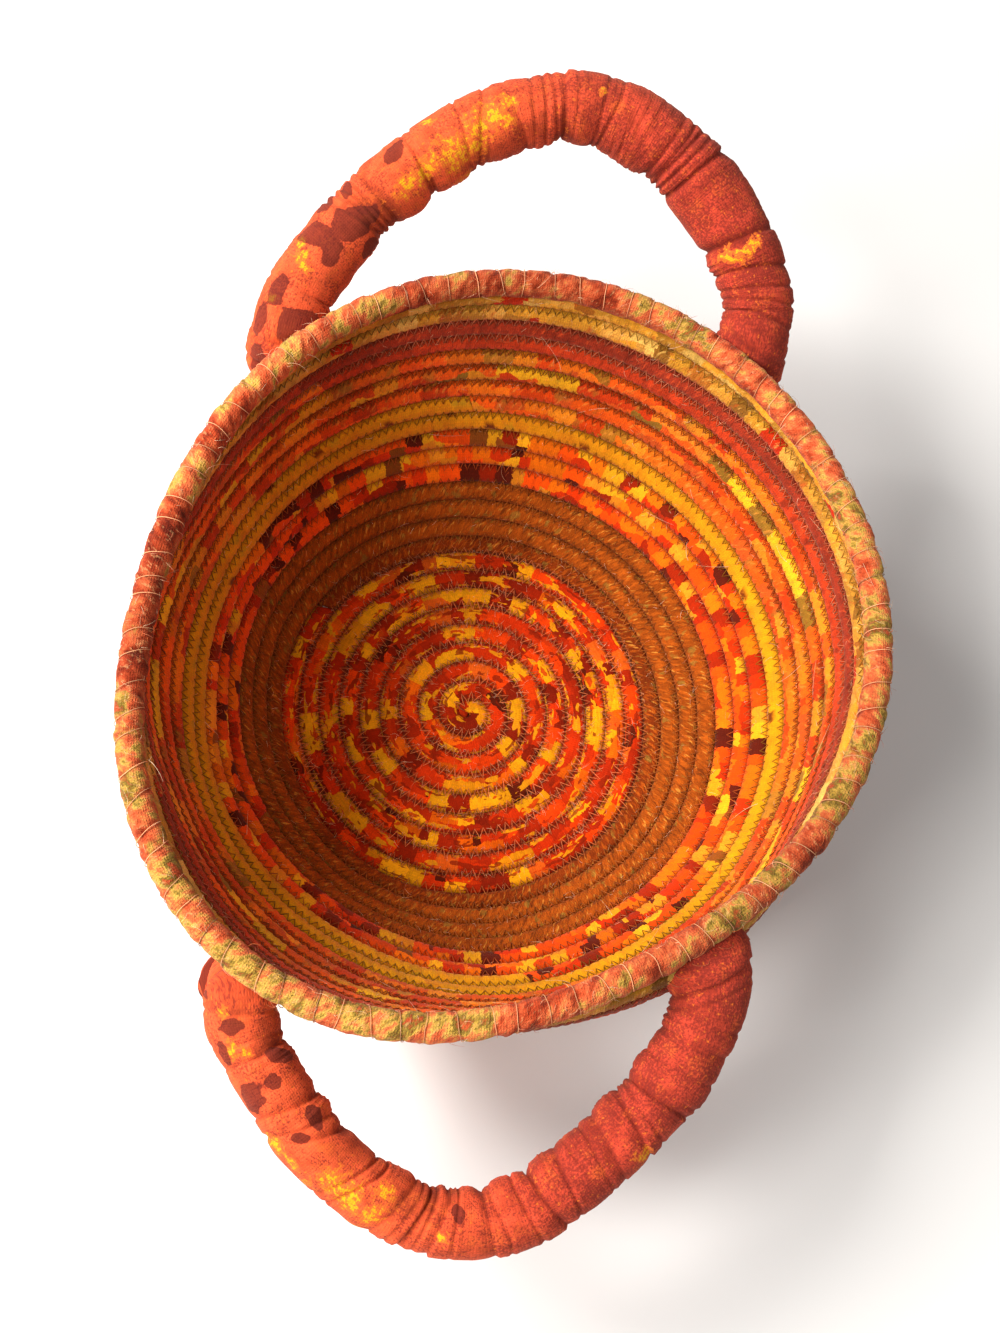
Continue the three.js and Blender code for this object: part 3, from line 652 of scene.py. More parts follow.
STROKE_TAN, STROKE_OLV = lin(0xDE8240), lin(0xB08A3A)
MATS = {
    "wrap_base": cotton("cloth_patchwork", base_print, 0.17, speck=0.25, speck_col=tuple(lin(0x7A1E06)), bump=0.5, sheen=0.03,
                        strokes=[(0.14, 0.50, 0.1, 0.60, 0.62, 0.85, tuple(lin(0x8A2206)), 71.0), (0.12, 0.48, 0.1, 0.615, 0.63, 0.9, tuple(lin(0xEA9812)), 77.0), (0.15, 0.50, 0.1, 0.63, 0.65, 0.9, tuple(lin(0xC83608)), 83.0)]),
    "wrap_brown": cotton("cloth_brown", None, 0.20, speck=0.30, speck_col=(0.055, 0.014, 0.004), bump=0.9, sheen=0.05,
                         strokes=[(0.85, 0.30, 0.75, 0.48, 0.62, 0.50, tuple(lin(0xCC6216)), 3.0), (0.95, 0.30, 0.7, 0.60, 0.69, 0.62, tuple(lin(0xE09A3C)), 8.0),
                                  (0.75, 0.30, 0.9, 0.57, 0.67, 0.6, tuple(lin(0x5A2408)), 15.0), (0.22, 0.22, 0.3, 0.60, 0.70, 0.45, tuple(lin(0x8A7A30)), 27.0)]),
    "wrap_patch": cotton("cloth_pieced", pieced_print, 0.14, speck=0.14, bump=0.5),
    "wrap_yellow": cotton("cloth_yellow", None, 0.13, speck=0.10, speck_col=(0.35, 0.08, 0.01), bump=0.5,
                          strokes=[(0.5, 0.3, 0.6, 0.56, 0.70, 0.5, tuple(lin(0xE88A14)), 5.0)]),
    "wrap_orange": cotton("cloth_orange", orange_print, 0.16, speck=0.30, speck_col=(0.20, 0.02, 0.004), bump=0.55,
                          strokes=[(0.6, 0.3, 0.7, 0.58, 0.70, 0.45, tuple(lin(0xF09A3C)), 6.0), (0.12, 0.12, 0.2, 0.60, 0.72, 0.5, tuple(lin(0x8A7024)), 16.0)]),
    "wrap_red": cotton("cloth_red", None, 0.24, speck=0.55, speck_col=(0.05, 0.006, 0.002), bump=0.6,
                       strokes=[(0.7, 0.3, 0.7, 0.58, 0.72, 0.55, tuple(lin(0xE85A28)), 6.0), (0.2, 0.16, 0.3, 0.58, 0.70, 0.6, tuple(lin(0x5E1A0C)), 9.0)]),
    "wrap_gold": cotton("cloth_gold", gold_print, 0.18, speck=0.3, speck_col=(0.25, 0.05, 0.01), bump=0.6,
                        strokes=[(0.7, 0.3, 0.7, 0.57, 0.70, 0.5, tuple(lin(0xF0C060)), 6.0), (0.3, 0.2, 0.5, 0.60, 0.72, 0.5, tuple(lin(0xC8501C)), 13.0)]),
}

T0 = T_START
for name, T1 in ENDS:
    P, L, Lv, v, x, y, T, s = rope(T0, T1, 0.9)
    n, k = x.shape
    f, i, j = tube_faces(n, k)
    vv = np.broadcast_to(v, Lv.shape)
    col = seam_colours(name, Lv, vv, x, np.broadcast_to(T[:, None], Lv.shape)).reshape(-1, 3)
    cloth_xy = np.stack([Lv.ravel(), (vv * 3.7).ravel(), 0.25 * T.repeat(k) / 360], 1)
    uv = strip_uv(i, j, n, k, max(1, int(round(math.sqrt((L[-1] - L[0]) / 24.0)))))
    # both ends are closed by a ring of quads on to a smaller ring and a strip across it
    caps = []
    for base, flip in ((0, True), ((n - 1) * k, False)):
        for q in range(1, k // 2):
            c4 = [base + q, base + q + 1, base + (k - q - 1) % k, base + k - q]
            if q == k // 2 - 1:
                c4 = None
            if c4:
                caps.append(c4[::-1] if flip else c4)
    caps = np.array(caps)
    f2 = np.concatenate([f, caps])
    m_ = len(caps)
    cu = 0.9 + 0.09 * (np.arange(m_) % 8) / 8
    cv = 0.001 + 0 * cu
    uv2 = np.stack([np.stack([cu, cv], 1), np.stack([cu + 0.008, cv], 1), np.stack([cu + 0.008, cv + 0.002], 1), np.stack([cu, cv + 0.002], 1)], 1)
    o = new_mesh("coil_" + name[5:], P.reshape(-1, 3), f2, col, [("cloth", cloth_xy)] + ([("mixk", np.repeat(smooth(6382 + 1.85 * 360, 6382 + 1.98 * 360, T) * (1 - smooth(6382 + 2.85 * 360, 6382 + 2.98 * 360, T)), k))] if name == "wrap_orange" else []),
                 np.concatenate([uv, uv2]))
    o.data.materials.append(MATS[name])
    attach(o, "basket")
    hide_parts(name)
    T0 = T1

# ------------------------------------------------------------------ cord inside the coil
cord_mat, nt_, b_ = base_material("cotton_cord", 0.95, 0.1)
tw = node(nt_, "ShaderNodeTexNoise")
tw.inputs["Scale"].default_value = 900.0
mr = node(nt_, "ShaderNodeMix", data_type="RGBA")
mr.inputs[6].default_value, mr.inputs[7].default_value = (0.62, 0.56, 0.44, 1), (0.85, 0.80, 0.68, 1)
tcc = node(nt_, "ShaderNodeTexCoord")
nt_.links.new(tcc.outputs["Object"], tw.inputs["Vector"])
nt_.links.new(tw.outputs["Fac"], mr.inputs[0])
nt_.links.new(mr.outputs[2], b_.inputs["Base Color"])


def plain_tube(name, path, normal, radius, k, mat, body, node_names):
    V = long_tube(path, normal, radius, k)
    f, i, j = tube_faces(len(path), k)
    if k == 4:
        f = np.concatenate([f, [[3, 2, 1, 0]], [[len(V) - 4, len(V) - 3, len(V) - 2, len(V) - 1]]])
    o = new_mesh(name, V, f, None, (), grid_uv(len(f)))
    o.data.materials.append(mat)
    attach(o, body)
    if node_names:
        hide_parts(*node_names)
    return o


Lc = np.arange(mid_len(270), mid_len(8870), 5.0)
Tc = mid_T(Lc)
sc, _ = course(Tc)
plain_tube("cord_of_coil", on_wall(sc, AZ_0 - Tc, 0.0), wall_normal(sc, AZ_0 - Tc), 2.1, 4, cord_mat, "basket", ["core_rope"])

# ------------------------------------------------------------------ zigzag seams
def thread_colour(T):
    """The same seam reads light on the dark prints and dark on the yellow ones."""
    q = T / 360
    tab = [(0, 0xDA7C4A), (8.6, 0xCE7040), (9.6, 0x9A5420), (12.8, 0x8C4818), (13.4, 0xA8481C), (15.5, 0xA8501C), (15.9, 0x80560E), (17.4, 0x80560E),
           (17.9, 0x9A4812), (21.2, 0x9A4812), (21.8, 0xBC6A48), (22.9, 0xB86040), (23.3, 0x8A6418), (25, 0x8A6418)]
    rgb = np.array([lin(c) for _, c in tab])
    return np.stack([np.interp(q, [t for t, _ in tab], rgb[:, i]) for i in range(3)], 1)


def zigzag(T_lo, T_hi, face, sub=3, k=4, radius=0.16, shift=0.0, wide=1.0):
    """Thread path along the seams: face is 1 inside the basket and -1 outside."""
    m0, m1 = int(seam_len(T_lo) / (STITCH / 2)), int(seam_len(T_hi) / (STITCH / 2))
    m = np.arange(m0, m1)
    side = np.where(m % 2 == 0, 1.0, -1.0)      # +1: the hole is in the outer course
    jig = rng.normal(0, 0.20, len(m)) + 0.35 * noise1(m / 9.0, 16)
    w = STITCH_W * wide * (1 + rng.normal(0, 0.07, len(m)) + 0.12 * noise1(m / 25.0, 17))
    pts, nrm = [], []
    Lm = m * (STITCH / 2) + jig + shift
    for q in range(sub):
        t = q / sub
        nxt = np.roll(Lm, -1)
        nxt[-1] = Lm[-1] + STITCH / 2
        L = Lm + (nxt - Lm) * (t + (0.10 if 0 < q else 0.0) * 0)
        wn = np.roll(w, -1)
        xoff = side * w * (1 - t) - side * wn * t
        T = seam_T(L)
        s = T / 360 + xoff / PITCH
        b, power = fullness(s)
        over = np.where(q == 0, -0.22, 0.10 - 0.55 * np.exp(-((xoff / 0.8) ** 2)))
        n = surface_n(4.0 - np.abs(xoff) if q == 0 else np.full(len(m), 2.3), 4.04, power, b) + over
        az = AZ_0 - T
        pts.append(on_wall(s, az, face * n))
        nrm.append(face * wall_normal(s, az))
    P = np.stack(pts, 1).reshape(-1, 3)
    N = np.stack(nrm, 1).reshape(-1, 3)
    V = long_tube(P, N, radius, k)
    f, i, j = tube_faces(len(P), k)
    f = np.concatenate([f, [[3, 2, 1, 0]], [[len(V) - 4, len(V) - 3, len(V) - 2, len(V) - 1]]])
    Tm = seam_T(m * (STITCH / 2))
    cm = thread_colour(Tm) * (1 + 0.20 * rng.normal(0, 1, len(m)) + 0.25 * noise1(seam_len(Tm) / 30, 15))[:, None].clip(0.45, 1.7)
    cf = np.concatenate([cm[np.minimum(i // sub, len(m) - 1)], cm[:1], cm[-1:]])
    return V, f, cf, i, j


TH_MAT = thread_material("sewing_thread")
for nm, lo, hi, face in (("zigzag_base", 200, 3200, 1), ("zigzag_base_again", 200, 3300, 1), ("zigzag_wall_again", 6450, 8400, 1), ("zigzag_wall_low", 3200, 6300, 1), ("zigzag_wall_high", 6300, 8640, 1),
                         ("zigzag_underside", 250, 3200, -1), ("zigzag_outside_low", 3200, 6300, -1), ("zigzag_outside_high", 6300, 8640, -1)):
    again = nm.endswith("again")
    V, f, cf, i, j = zigzag(lo, hi, face, 3 if face > 0 else 2, radius=0.12 if again else 0.16, shift=0.9 if again else 0.0, wide=0.8 if again else 1.0)
    if again:
        cf = cf * (0.16 if "base" in nm else 0.45)
    uv = grid_uv(len(f))
    o = new_mesh(nm, V, f, cf, (), uv)
    o.data.materials.append(TH_MAT)
    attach(o, "basket")

# ------------------------------------------------------------------ rim coil
RIM_R = 4.85
AZR = np.arange(0, 360, 0.05)
_rc = on_wall(np.full(len(AZR) + 1, RIM_SIGMA), np.append(AZR, 360.0), 0.0)
RIM_LEN = np.concatenate([[0], np.cumsum(np.linalg.norm(np.diff(_rc, axis=0), axis=1))])
RIM_TOTAL = RIM_LEN[-1]
rim_az = lambda L: np.interp(L % RIM_TOTAL, RIM_LEN, np.append(AZR, 360.0))
N_WHIP = int(round(RIM_TOTAL / 9.4))
WHIP = RIM_TOTAL / N_WHIP
whip_rng = np.random.default_rng(5)
whip_jig = whip_rng.normal(0, 1.25, N_WHIP)
whip_slant = 3.0 + whip_rng.normal(0, 1.7, N_WHIP)


def rim_point(az, alpha, rad):
    """alpha from 0 inside the basket, over 90 degrees at the top, to 180 outside."""
    x, y = rad * np.sin(alpha), rad * np.cos(alpha)
    return on_wall(RIM_SIGMA + x / PITCH, az, y)


def rim_dent(L, alpha):
    """How far the hand stitches pull the cloth in, at L mm round the rim and angle alpha."""
    t = (alpha + math.radians(40)) / math.radians(260)
    d = np.zeros_like(L)
    base = np.floor(L / WHIP).astype(int)
    for o_ in (-1, 0, 1):
        m = (base + o_) % N_WHIP
        at = (base + o_) * WHIP + whip_jig[m] + whip_slant[m] * (t - 0.5)
        d = np.maximum(d, np.exp(-(((L - at) / 1.25) ** 2)))
    return d * smooth(-0.1, 0.1, t) * (1 - smooth(0.9, 1.1, t))


nr, kr = 1300, 30
Lr = np.linspace(0, RIM_TOTAL, nr, endpoint=False)
al = 2 * np.pi * np.arange(kr) / kr - np.pi / 2
LR, AL = np.meshgrid(Lr, al, indexing="ij")
# the strip is wound on a slant here too
LV = LR + 2.6 * np.sin(AL) * 0.9
turns = round(RIM_TOTAL / 13.0)
ph = LV / RIM_TOTAL * turns + AL / (2 * np.pi) + 0.18 * noise1(LV / 30, 81)
saw = ph - np.floor(ph)
rr = RIM_R + 0.42 * (1 - saw) * smooth(0, 0.05, saw) - 0.15 + 0.16 * noise2(LV / 4, AL / (2 * np.pi) * 6, 82, 6)
rr = rr + 0.14 * noise2(LV / 1.5 + 0.4 * AL, AL / (2 * np.pi) * 11, 83, 11) - 0.5 * rim_dent(LV, AL) + 0.22 * noise2(LV / 9, AL / (2 * np.pi) * 4, 84, 4)
# pressed down on the top course, so that no light shows between them
rr = rr + 0.95 * np.clip(-np.sin(AL), 0, 1) ** 7
P = rim_point(rim_az(LV), AL, rr)
f, i, j = tube_faces(nr + 1, kr)
f = np.where(f >= nr * kr, f - nr * kr, f)
uv = strip_uv(i, j, nr + 1, kr, 5)


def rim_print(cl, _):
    """Dyed in soft streaks that follow the wound strip: dark red, coral, orange, cream, gold and olive."""
    nt = cl.nt
    broad = cl.noise(0.065, 0.060, 2.0, 0.5, 0.35, 61.0)
    fine = cl.noise(0.26, 0.20, 4.0, 0.66, 0.4, 67.0)
    t = math_node(nt, "MULTIPLY_ADD", broad, 0.62, math_node(nt, "MULTIPLY_ADD", fine, 0.54, node(nt, "ShaderNodeAttribute", attribute_name="tone").outputs["Fac"]))
    ramp = node(nt, "ShaderNodeValToRGB")
    ramp.color_ramp.interpolation = "LINEAR"
    stops = [(0.38, 0x6E2010), (0.465, 0xA83A1C), (0.515, 0xC8502A), (0.56, 0xDC643A), (0.60, 0xE47640), (0.63, 0xE0944A), (0.655, 0xD8A84C), (0.685, 0xB08A36), (0.72, 0x806A2A), (0.78, 0xC0502A)]
    el = ramp.color_ramp.elements
    while len(el) < len(stops):
        el.new(0.5)
    for e_, (q, c) in zip(el, stops):
        e_.position = q
    for e_, (q, c) in zip(el, stops):
        e_.color = (*[float(v_) for v_ in lin(c)], 1)
    nt.links.new(t, ramp.inputs[0])
    return ramp.outputs[0]


RIM_MAT = cotton("cloth_rim", rim_print, 0.17, speck=0.45, speck_col=(0.22, 0.035, 0.010), bump=0.8,
                 strokes=[(0.8, 0.4, 0.5, 0.57, 0.72, 0.35, tuple(lin(0xF2B478)), 4.0), (0.35, 0.25, 0.4, 0.58, 0.70, 0.55, tuple(lin(0x8A2E18)), 9.0)])
# painted shade: darker along the folded edge of each turn of the wound strip and in the dents of the hand stitches, and
# towards the outside and underside of the rim
shade = 1 - 0.35 * smooth(0.0, 1.0, 1 - np.abs(saw - 0.02) / 0.05) - 0.22 * rim_dent(LV, AL)
shade = shade * (1 - 0.30 * smooth(math.pi * 0.9, math.pi * 1.3, AL))
# painted light and shade by azimuth over the strip's own uneven colour: darker at the top, left and lower right of the
# view, lighter at the upper left and bottom
shade = shade * np.interp(rim_az(LV) % 360, [0, 45, 90, 135, 180, 225, 270, 315, 360], [0.90, 1.02, 0.66, 1.18, 0.69, 0.97, 1.12, 0.65, 0.90])
col = np.repeat(shade.ravel()[:, None], 3, 1)
o = new_mesh("rim_coil", P.reshape(-1, 3), f, col, [("cloth", np.stack([LV.ravel(), (AL * 4.85).ravel(), 0 * LV.ravel()], 1)),
              ("tone", np.interp(rim_az(LV).ravel() % 360, [0, 45, 90, 135, 180, 225, 270, 315, 360], [0.050, 0.040, -0.030, -0.010, -0.035, 0.030, -0.005, 0.025, 0.050]))], uv)
o.data.materials.append(RIM_MAT)
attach(o, "basket")
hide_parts("rim_wrap")
# cord inside the rim
azc = np.arange(0, 360, 1.5)
pc = on_wall(np.full(len(azc), RIM_SIGMA), azc, 0.0)
V = long_tube(np.concatenate([pc, pc[:1]]), np.tile([0, 0, 1.0], (len(azc) + 1, 1)), 3.2, 8)[: len(azc) * 8]
f, _, _ = tube_faces(len(azc) + 1, 8)
f = np.where(f >= len(azc) * 8, f - len(azc) * 8, f)
o = new_mesh("cord_of_rim", V, f, None, (), grid_uv(len(f)))
o.data.materials.append(cord_mat)
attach(o, "basket")
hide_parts("rim_rope")

# hand stitches over the rim
m = np.arange(N_WHIP)
tt = np.linspace(0, 1, 15)
alpha = np.radians(-52 + 262 * tt)[None, :] + np.zeros((N_WHIP, 1))
Lw = (m * WHIP + whip_jig)[:, None] + whip_slant[:, None] * ((alpha + math.radians(40)) / math.radians(260) - 0.5)
Lw = Lw + 0.30 * noise2(np.broadcast_to(tt * 5, Lw.shape), m[:, None] * 3.1, 91)
radw = RIM_R - 0.02 + 0.10 * noise2(np.broadcast_to(tt * 5, Lw.shape), m[:, None] * 2.3, 92)
endf = np.minimum(tt, 1 - tt)
radw = radw + np.where(endf < 0.04, -0.9, 0.0)[None, :]
pw = rim_point(rim_az(Lw), alpha, radw)
nw = pw - rim_point(rim_az(Lw), alpha, 0.01 * radw)
V, f = tubes(pw, 0.14, 4, nw)
cw = lin(0xDE9C70) * np.clip(1 + 0.30 * whip_rng.normal(0, 1, N_WHIP), 0.4, 1.5)[:, None]
body_n = 14 * 4
cf = np.concatenate([np.repeat(cw, body_n, 0), cw, cw])
o = new_mesh("rim_stitches", V, f, cf, (), grid_uv(len(f)))
o.data.materials.append(TH_MAT)
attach(o, "basket")

# ------------------------------------------------------------------ loose fibres
def fibres(name, count, pos, nrm, tan, length, radius, colours, seed, body="basket", stand=0.45, p=4):
    g = np.random.default_rng(seed)
    t = np.linspace(0, 1, p)[None, :, None]
    ln = g.uniform(*length, count)[:, None, None]
    ang = g.uniform(0, 2 * np.pi, count)
    bit = np.cross(nrm, tan)
    d = tan * np.cos(ang)[:, None] + bit * np.sin(ang)[:, None]
    d2 = tan * np.cos(ang + 1.2)[:, None] + bit * np.sin(ang + 1.2)[:, None]
    up = g.uniform(0.1, 2 * stand, count)[:, None, None]
    bend = g.normal(0, 0.5, count)[:, None, None]
    path = pos[:, None, :] - 0.25 * nrm[:, None, :] + ln * (d[:, None, :] * t + bend * d2[:, None, :] * t * t + nrm[:, None, :] * (up * t * (1 - 0.75 * t) + 0.12 * t))
    V, f = tubes(path, radius, 4, np.broadcast_to(nrm[:, None, :], path.shape) + 1e-3, True)
    cm = colours[g.integers(0, len(colours), count)] * np.clip(1 + 0.15 * g.normal(0, 1, count), 0.6, 1.5)[:, None]
    cf = np.concatenate([np.repeat(cm, (p - 1) * 4, 0), cm, cm])
    o = new_mesh(name, V, f, cf, (), grid_uv(len(f)))
    o.data.materials.append(TH_MAT)
    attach(o, body)
    return o


def scatter(count, s_lo, s_hi, seed, face=1):
    g = np.random.default_rng(seed)
    T = seam_T(g.uniform(seam_len(s_lo * 360), seam_len(s_hi * 360), count))
    x = g.normal(0, 1.6, count)
    s = T / 360 + x / PITCH
    az = AZ_0 - T
    b, power = fullness(s)
    n = surface_n(4.0 - np.clip(np.abs(x), 0.9, 4), 4.04, power, b)
    nr_ = face * wall_normal(s, az)
    a = np.radians(az)
    tan = np.stack([-np.sin(a), np.cos(a), 0 * a], -1)
    return on_wall(s, az, face * n), nr_, tan


FIB = np.array([lin(0xE88A60), lin(0xF0B890), lin(0xD8703C), lin(0xC85A28), lin(0xF4CFA8)])
for nm, cnt, lo, hi, face, seed in (("fluff_base", 2600, 0.8, 9.0, 1, 103), ("fluff_inside", 3000, 9.0, 24.2, 1, 101), ("fluff_outside", 1300, 9.3, 24.2, -1, 102)):
    p_, n_, t_ = scatter(cnt, lo, hi, seed, face)
    fibres(nm, cnt, p_, n_, t_, (0.8, 3.2), 0.065, FIB, seed + 10)

# frayed cloth and thread ends along the rim
g = np.random.default_rng(140)
cnt = 900
Lf = g.uniform(0, RIM_TOTAL, cnt)
af = np.radians(g.uniform(-40, 200, cnt))
p_ = rim_point(rim_az(Lf), af, RIM_R + 0.1)
n_ = p_ - rim_point(rim_az(Lf), af, 0.01 * np.ones(cnt))
n_ /= np.linalg.norm(n_, axis=1, keepdims=True)
a_ = np.radians(rim_az(Lf))
fibres("fluff_rim", cnt, p_, n_, np.stack([-np.sin(a_), np.cos(a_), 0 * a_], -1), (1.2, 4.5), 0.06, FIB, 141, stand=0.35)

# a few long ones hang where seams were started and ended
g = np.random.default_rng(160)
p_, n_, t_ = scatter(70, 12.0, 24.3, 161)
fibres("loose_threads", 70, p_, n_, t_, (6, 15), 0.085, FIB[1:] * 0.9, 162, stand=0.10, p=9)
Lf = g.uniform(0, RIM_TOTAL, 26)
af = np.radians(g.uniform(-40, 60, 26))
p_ = rim_point(rim_az(Lf), af, RIM_R + 0.1)
n_ = p_ - rim_point(rim_az(Lf), af, 0.01 * np.ones(26))
n_ /= np.linalg.norm(n_, axis=1, keepdims=True)
a_ = np.radians(rim_az(Lf))
fibres("loose_threads_rim", 26, p_, n_, np.stack([-np.sin(a_), np.cos(a_), 0 * a_], -1), (5, 11), 0.085, FIB[1:], 163, stand=0.16, p=9)

# ------------------------------------------------------------------ handles
def catmull(pts, step):
    d = np.concatenate([[0], np.cumsum(np.sqrt(np.linalg.norm(np.diff(pts, axis=0), axis=1)))])
    q = np.vstack([2 * pts[0] - pts[1], pts, 2 * pts[-1] - pts[-2]])
    k = np.concatenate([[d[0] - (d[1] - d[0])], d, [d[-1] + (d[-1] - d[-2])]])
    out = []
    for i_ in range(len(pts) - 1):
        t = np.linspace(k[i_ + 1], k[i_ + 2], 40, endpoint=i_ == len(pts) - 2)[:, None]
        p0, p1, p2, p3 = q[i_:i_ + 4]
        t0, t1, t2, t3 = k[i_:i_ + 4]
        a1 = (t1 - t) / (t1 - t0) * p0 + (t - t0) / (t1 - t0) * p1
        a2 = (t2 - t) / (t2 - t1) * p1 + (t - t1) / (t2 - t1) * p2
        a3 = (t3 - t) / (t3 - t2) * p2 + (t - t2) / (t3 - t2) * p3
        b1 = (t2 - t) / (t2 - t0) * a1 + (t - t0) / (t2 - t0) * a2
        b2 = (t3 - t) / (t3 - t1) * a2 + (t - t1) / (t3 - t1) * a3
        out.append((t2 - t) / (t2 - t1) * b1 + (t - t1) / (t2 - t1) * b2)
    c = np.concatenate(out)
    L = np.concatenate([[0], np.cumsum(np.linalg.norm(np.diff(c, axis=0), axis=1))])
    n = int(L[-1] / step) + 1
    Lq = np.linspace(0, L[-1], n)
    return np.stack([np.interp(Lq, L, c[:, a]) for a in range(3)], 1), Lq


def end_point(az, z, h):
    """On the outside of the wall at height z, h mm clear of its cloth."""
    q = np.arange(18, 24.4, 0.02)
    zz = wall(q, np.full(len(q), float(az)))[1]
    k = int(np.argmin(np.abs(zz - z)))
    return on_wall(q[k:k + 1], np.array([float(az)]), np.array([-(3.3 + h)]))[0]


# centre line in the handle's own plane, the sewn ends against the wall (azimuth, height, clearance),
# half width r and flatness f along it; folds: where each meets the outer and the inner side (mm along),
# its height and its kind (+1 or -1: an overlap, which piece is on top; 0: a pinched crease);
# spots and gold flecks of the print: mm along, degrees round, radius
HANDLES = {
    "a": dict(side=1, lift=28.0, root_z=103.0,
              line=[(-70.5, 7), (-68.5, 14), (-65, 22), (-57.5, 33), (-48, 43.9), (-38, 54), (-26, 64.3), (-12, 73.3), (2, 80.6), (15, 84.8), (30, 87), (44, 84.9), (57, 79), (70, 69.8), (81, 59), (90, 47), (97, 34), (100, 20), (99.5, 9)],
              ends=([(124, 87, 4.0), (124, 96, 6.5)], [(47, 95, 7.5), (47, 85, 4.5)]),
              r=[(0, 13.0), (0.05, 13.6), (0.12, 12.6), (0.2, 11.9), (0.5, 12.3), (0.62, 13.2), (0.82, 13.6), (0.9, 13.4), (0.96, 15.2), (1, 15.5)],
              f=[(0, 0.45), (0.06, 0.75), (0.13, 1), (0.88, 1), (0.95, 0.75), (1, 0.42)],
              folds=[(66, 70, 0.8, 0), (69.5, 71.8, 0.9, 0), (72.5, 73.6, 0.7, 0), (76, 75.6, 0.9, 0), (79, 78, 1.1, -1), (98.5, 96, 0.6, 0), (101, 99, 1.0, 1),
                     (118.7, 113.2, 0.6, 0), (128.2, 115.7, 0.9, -1), (131, 119.5, 0.5, 0), (136.5, 137.2, 0.8, 1), (144, 141, 0.4, 0), (147.5, 145.5, 0.5, 0), (151, 149.4, 0.6, 0),
                     (155.4, 152.4, 1.5, 1), (158, 156, 0.4, 0), (168, 166.5, 0.5, 0), (172, 169.5, 0.5, 0), (193.5, 193.6, 0.9, 1), (197, 196.4, 0.8, 0), (200.5, 199, 0.9, 0), (204, 201.6, 0.8, 0),
                     (208, 204.6, 1.2, -1), (239, 233.8, 1.1, 1), (248.5, 245, 0.9, -1), (256, 253, 0.6, 0), (262, 257, 0.7, 0), (268, 262, 0.8, 0), (273, 266.5, 0.6, 0),
                     (279, 271.5, 0.8, 1), (286, 277, 0.6, 0), (37.5, 37.2, 0.6, 0), (20, 24, 0.7, 0), (11, 16, 0.8, 0)],
              spots=[(67, 92, 7.0), (65, 150, 4.2), (55, 56, 6.0), (65, 14, 4.2), (92, 50, 4.2), (34, 56, 3.9), (24, 37, 3.6), (27, 105, 5.3), (73, 35, 3.2), (52, 101, 3.5), (12, 54, 5.7),
                     (45, -60, 6), (70, -80, 5), (25, -70, 5), (58, -130, 6), (100, -60, 4)],
              flecks=[(50, 43, 2.5), (47, 62, 2.8), (44, 77, 2.5), (30, 49, 2.1), (107, 35, 2.8), (98, 108, 6.0), (109, 109, 7.1), (120, 100, 7.1), (129, 87, 5.0), (134, 70, 3.2), (89, 107, 4.2),
                      (110, 166, 3.5), (240, 126, 3.6), (240, 94, 3.0), (165, 70, 1.4), (105, -60, 7), (120, -90, 7)]),
    "b": dict(side=-1, lift=-14.0, root_z=98.0,
              line=[(-82.5, 12), (-81.3, 22), (-76.5, 34.5), (-69.8, 45.5), (-61.5, 57), (-51.5, 67.7), (-38.5, 77.3), (-25, 84), (-9, 86.8), (2.3, 84.6), (12, 80.6), (24, 72.2), (37, 61.8), (49, 50), (60, 37), (66.5, 23.5), (68.3, 11), (67.0, 2), (65.0, -7)],
              ends=([(-126, 84, 4.0), (-126, 92, 6.0)], []),
              r=[(0, 12.5), (0.06, 12.4), (0.12, 11.2), (0.3, 10.8), (0.5, 11.0), (0.62, 12.0), (0.82, 12.4), (0.88, 12.8), (0.93, 14.3), (1, 15.5)],
              f=[(0, 0.5), (0.06, 0.85), (0.12, 1), (0.84, 1), (0.93, 0.72), (1, 0.55)],
              folds=[(36, 36.6, 0.9, 1), (30, 33, 0.5, 0), (53, 58.6, 0.9, 1), (57.6, 66, 0.9, -1), (60, 73.6, 1.0, 1), (80, 89, 0.7, 0), (84, 93, 0.6, 0), (99.2, 105.7, 0.9, 1), (103.5, 108, 0.7, 0),
                     (107.2, 110.7, 1.1, -1), (111.5, 114.5, 0.7, 0), (116.2, 118.8, 1.0, 1), (122, 122, 0.5, 0), (134.2, 132.7, 0.9, 1), (138, 136, 0.4, 0), (147, 145, 0.7, 0), (153.5, 151, 1.4, -1), (158.5, 163.8, 0.6, 0),
                     (172, 175, 0.5, 0), (177, 181, 0.7, 1), (187, 193.5, 1.2, 1), (191.5, 196.5, 0.6, 0), (201.8, 198.5, 1.3, -1), (206, 203, 0.5, 0), (214, 211, 0.5, 0), (222.9, 222.4, 0.8, 1), (229, 227, 0.5, 0),
                     (248, 236, 1.1, 1), (244, 231, 0.5, 0), (20, 22, 0.6, 0), (12, 16, 0.6, 0)],
              spots=[(11, 30, 5.0), (24, 75, 3.5), (39, 134, 4.1), (46, 53, 4.7), (62, 124, 3.8), (31, 42, 2.5), (45, 100, 2.5), (64, 84, 2.8), (122, 117, 2.6), (20, -60, 5), (50, -70, 5), (35, -120, 5), (75, -80, 4)],
              flecks=[(31, 62, 2.5), (33, 82, 2.2), (20, 58, 1.9), (59, 18, 2.5), (62, 38, 3.2), (68, 46, 2.5), (81, 71, 5.1), (88, 68, 5.7), (96, 65, 4.5), (96, 114, 3.2), (95, 14, 2.6), (118, 79, 1.9),
                      (185, 50, 2.9), (76, 32, 2.5), (90, -60, 6), (78, -100, 5)]),
}


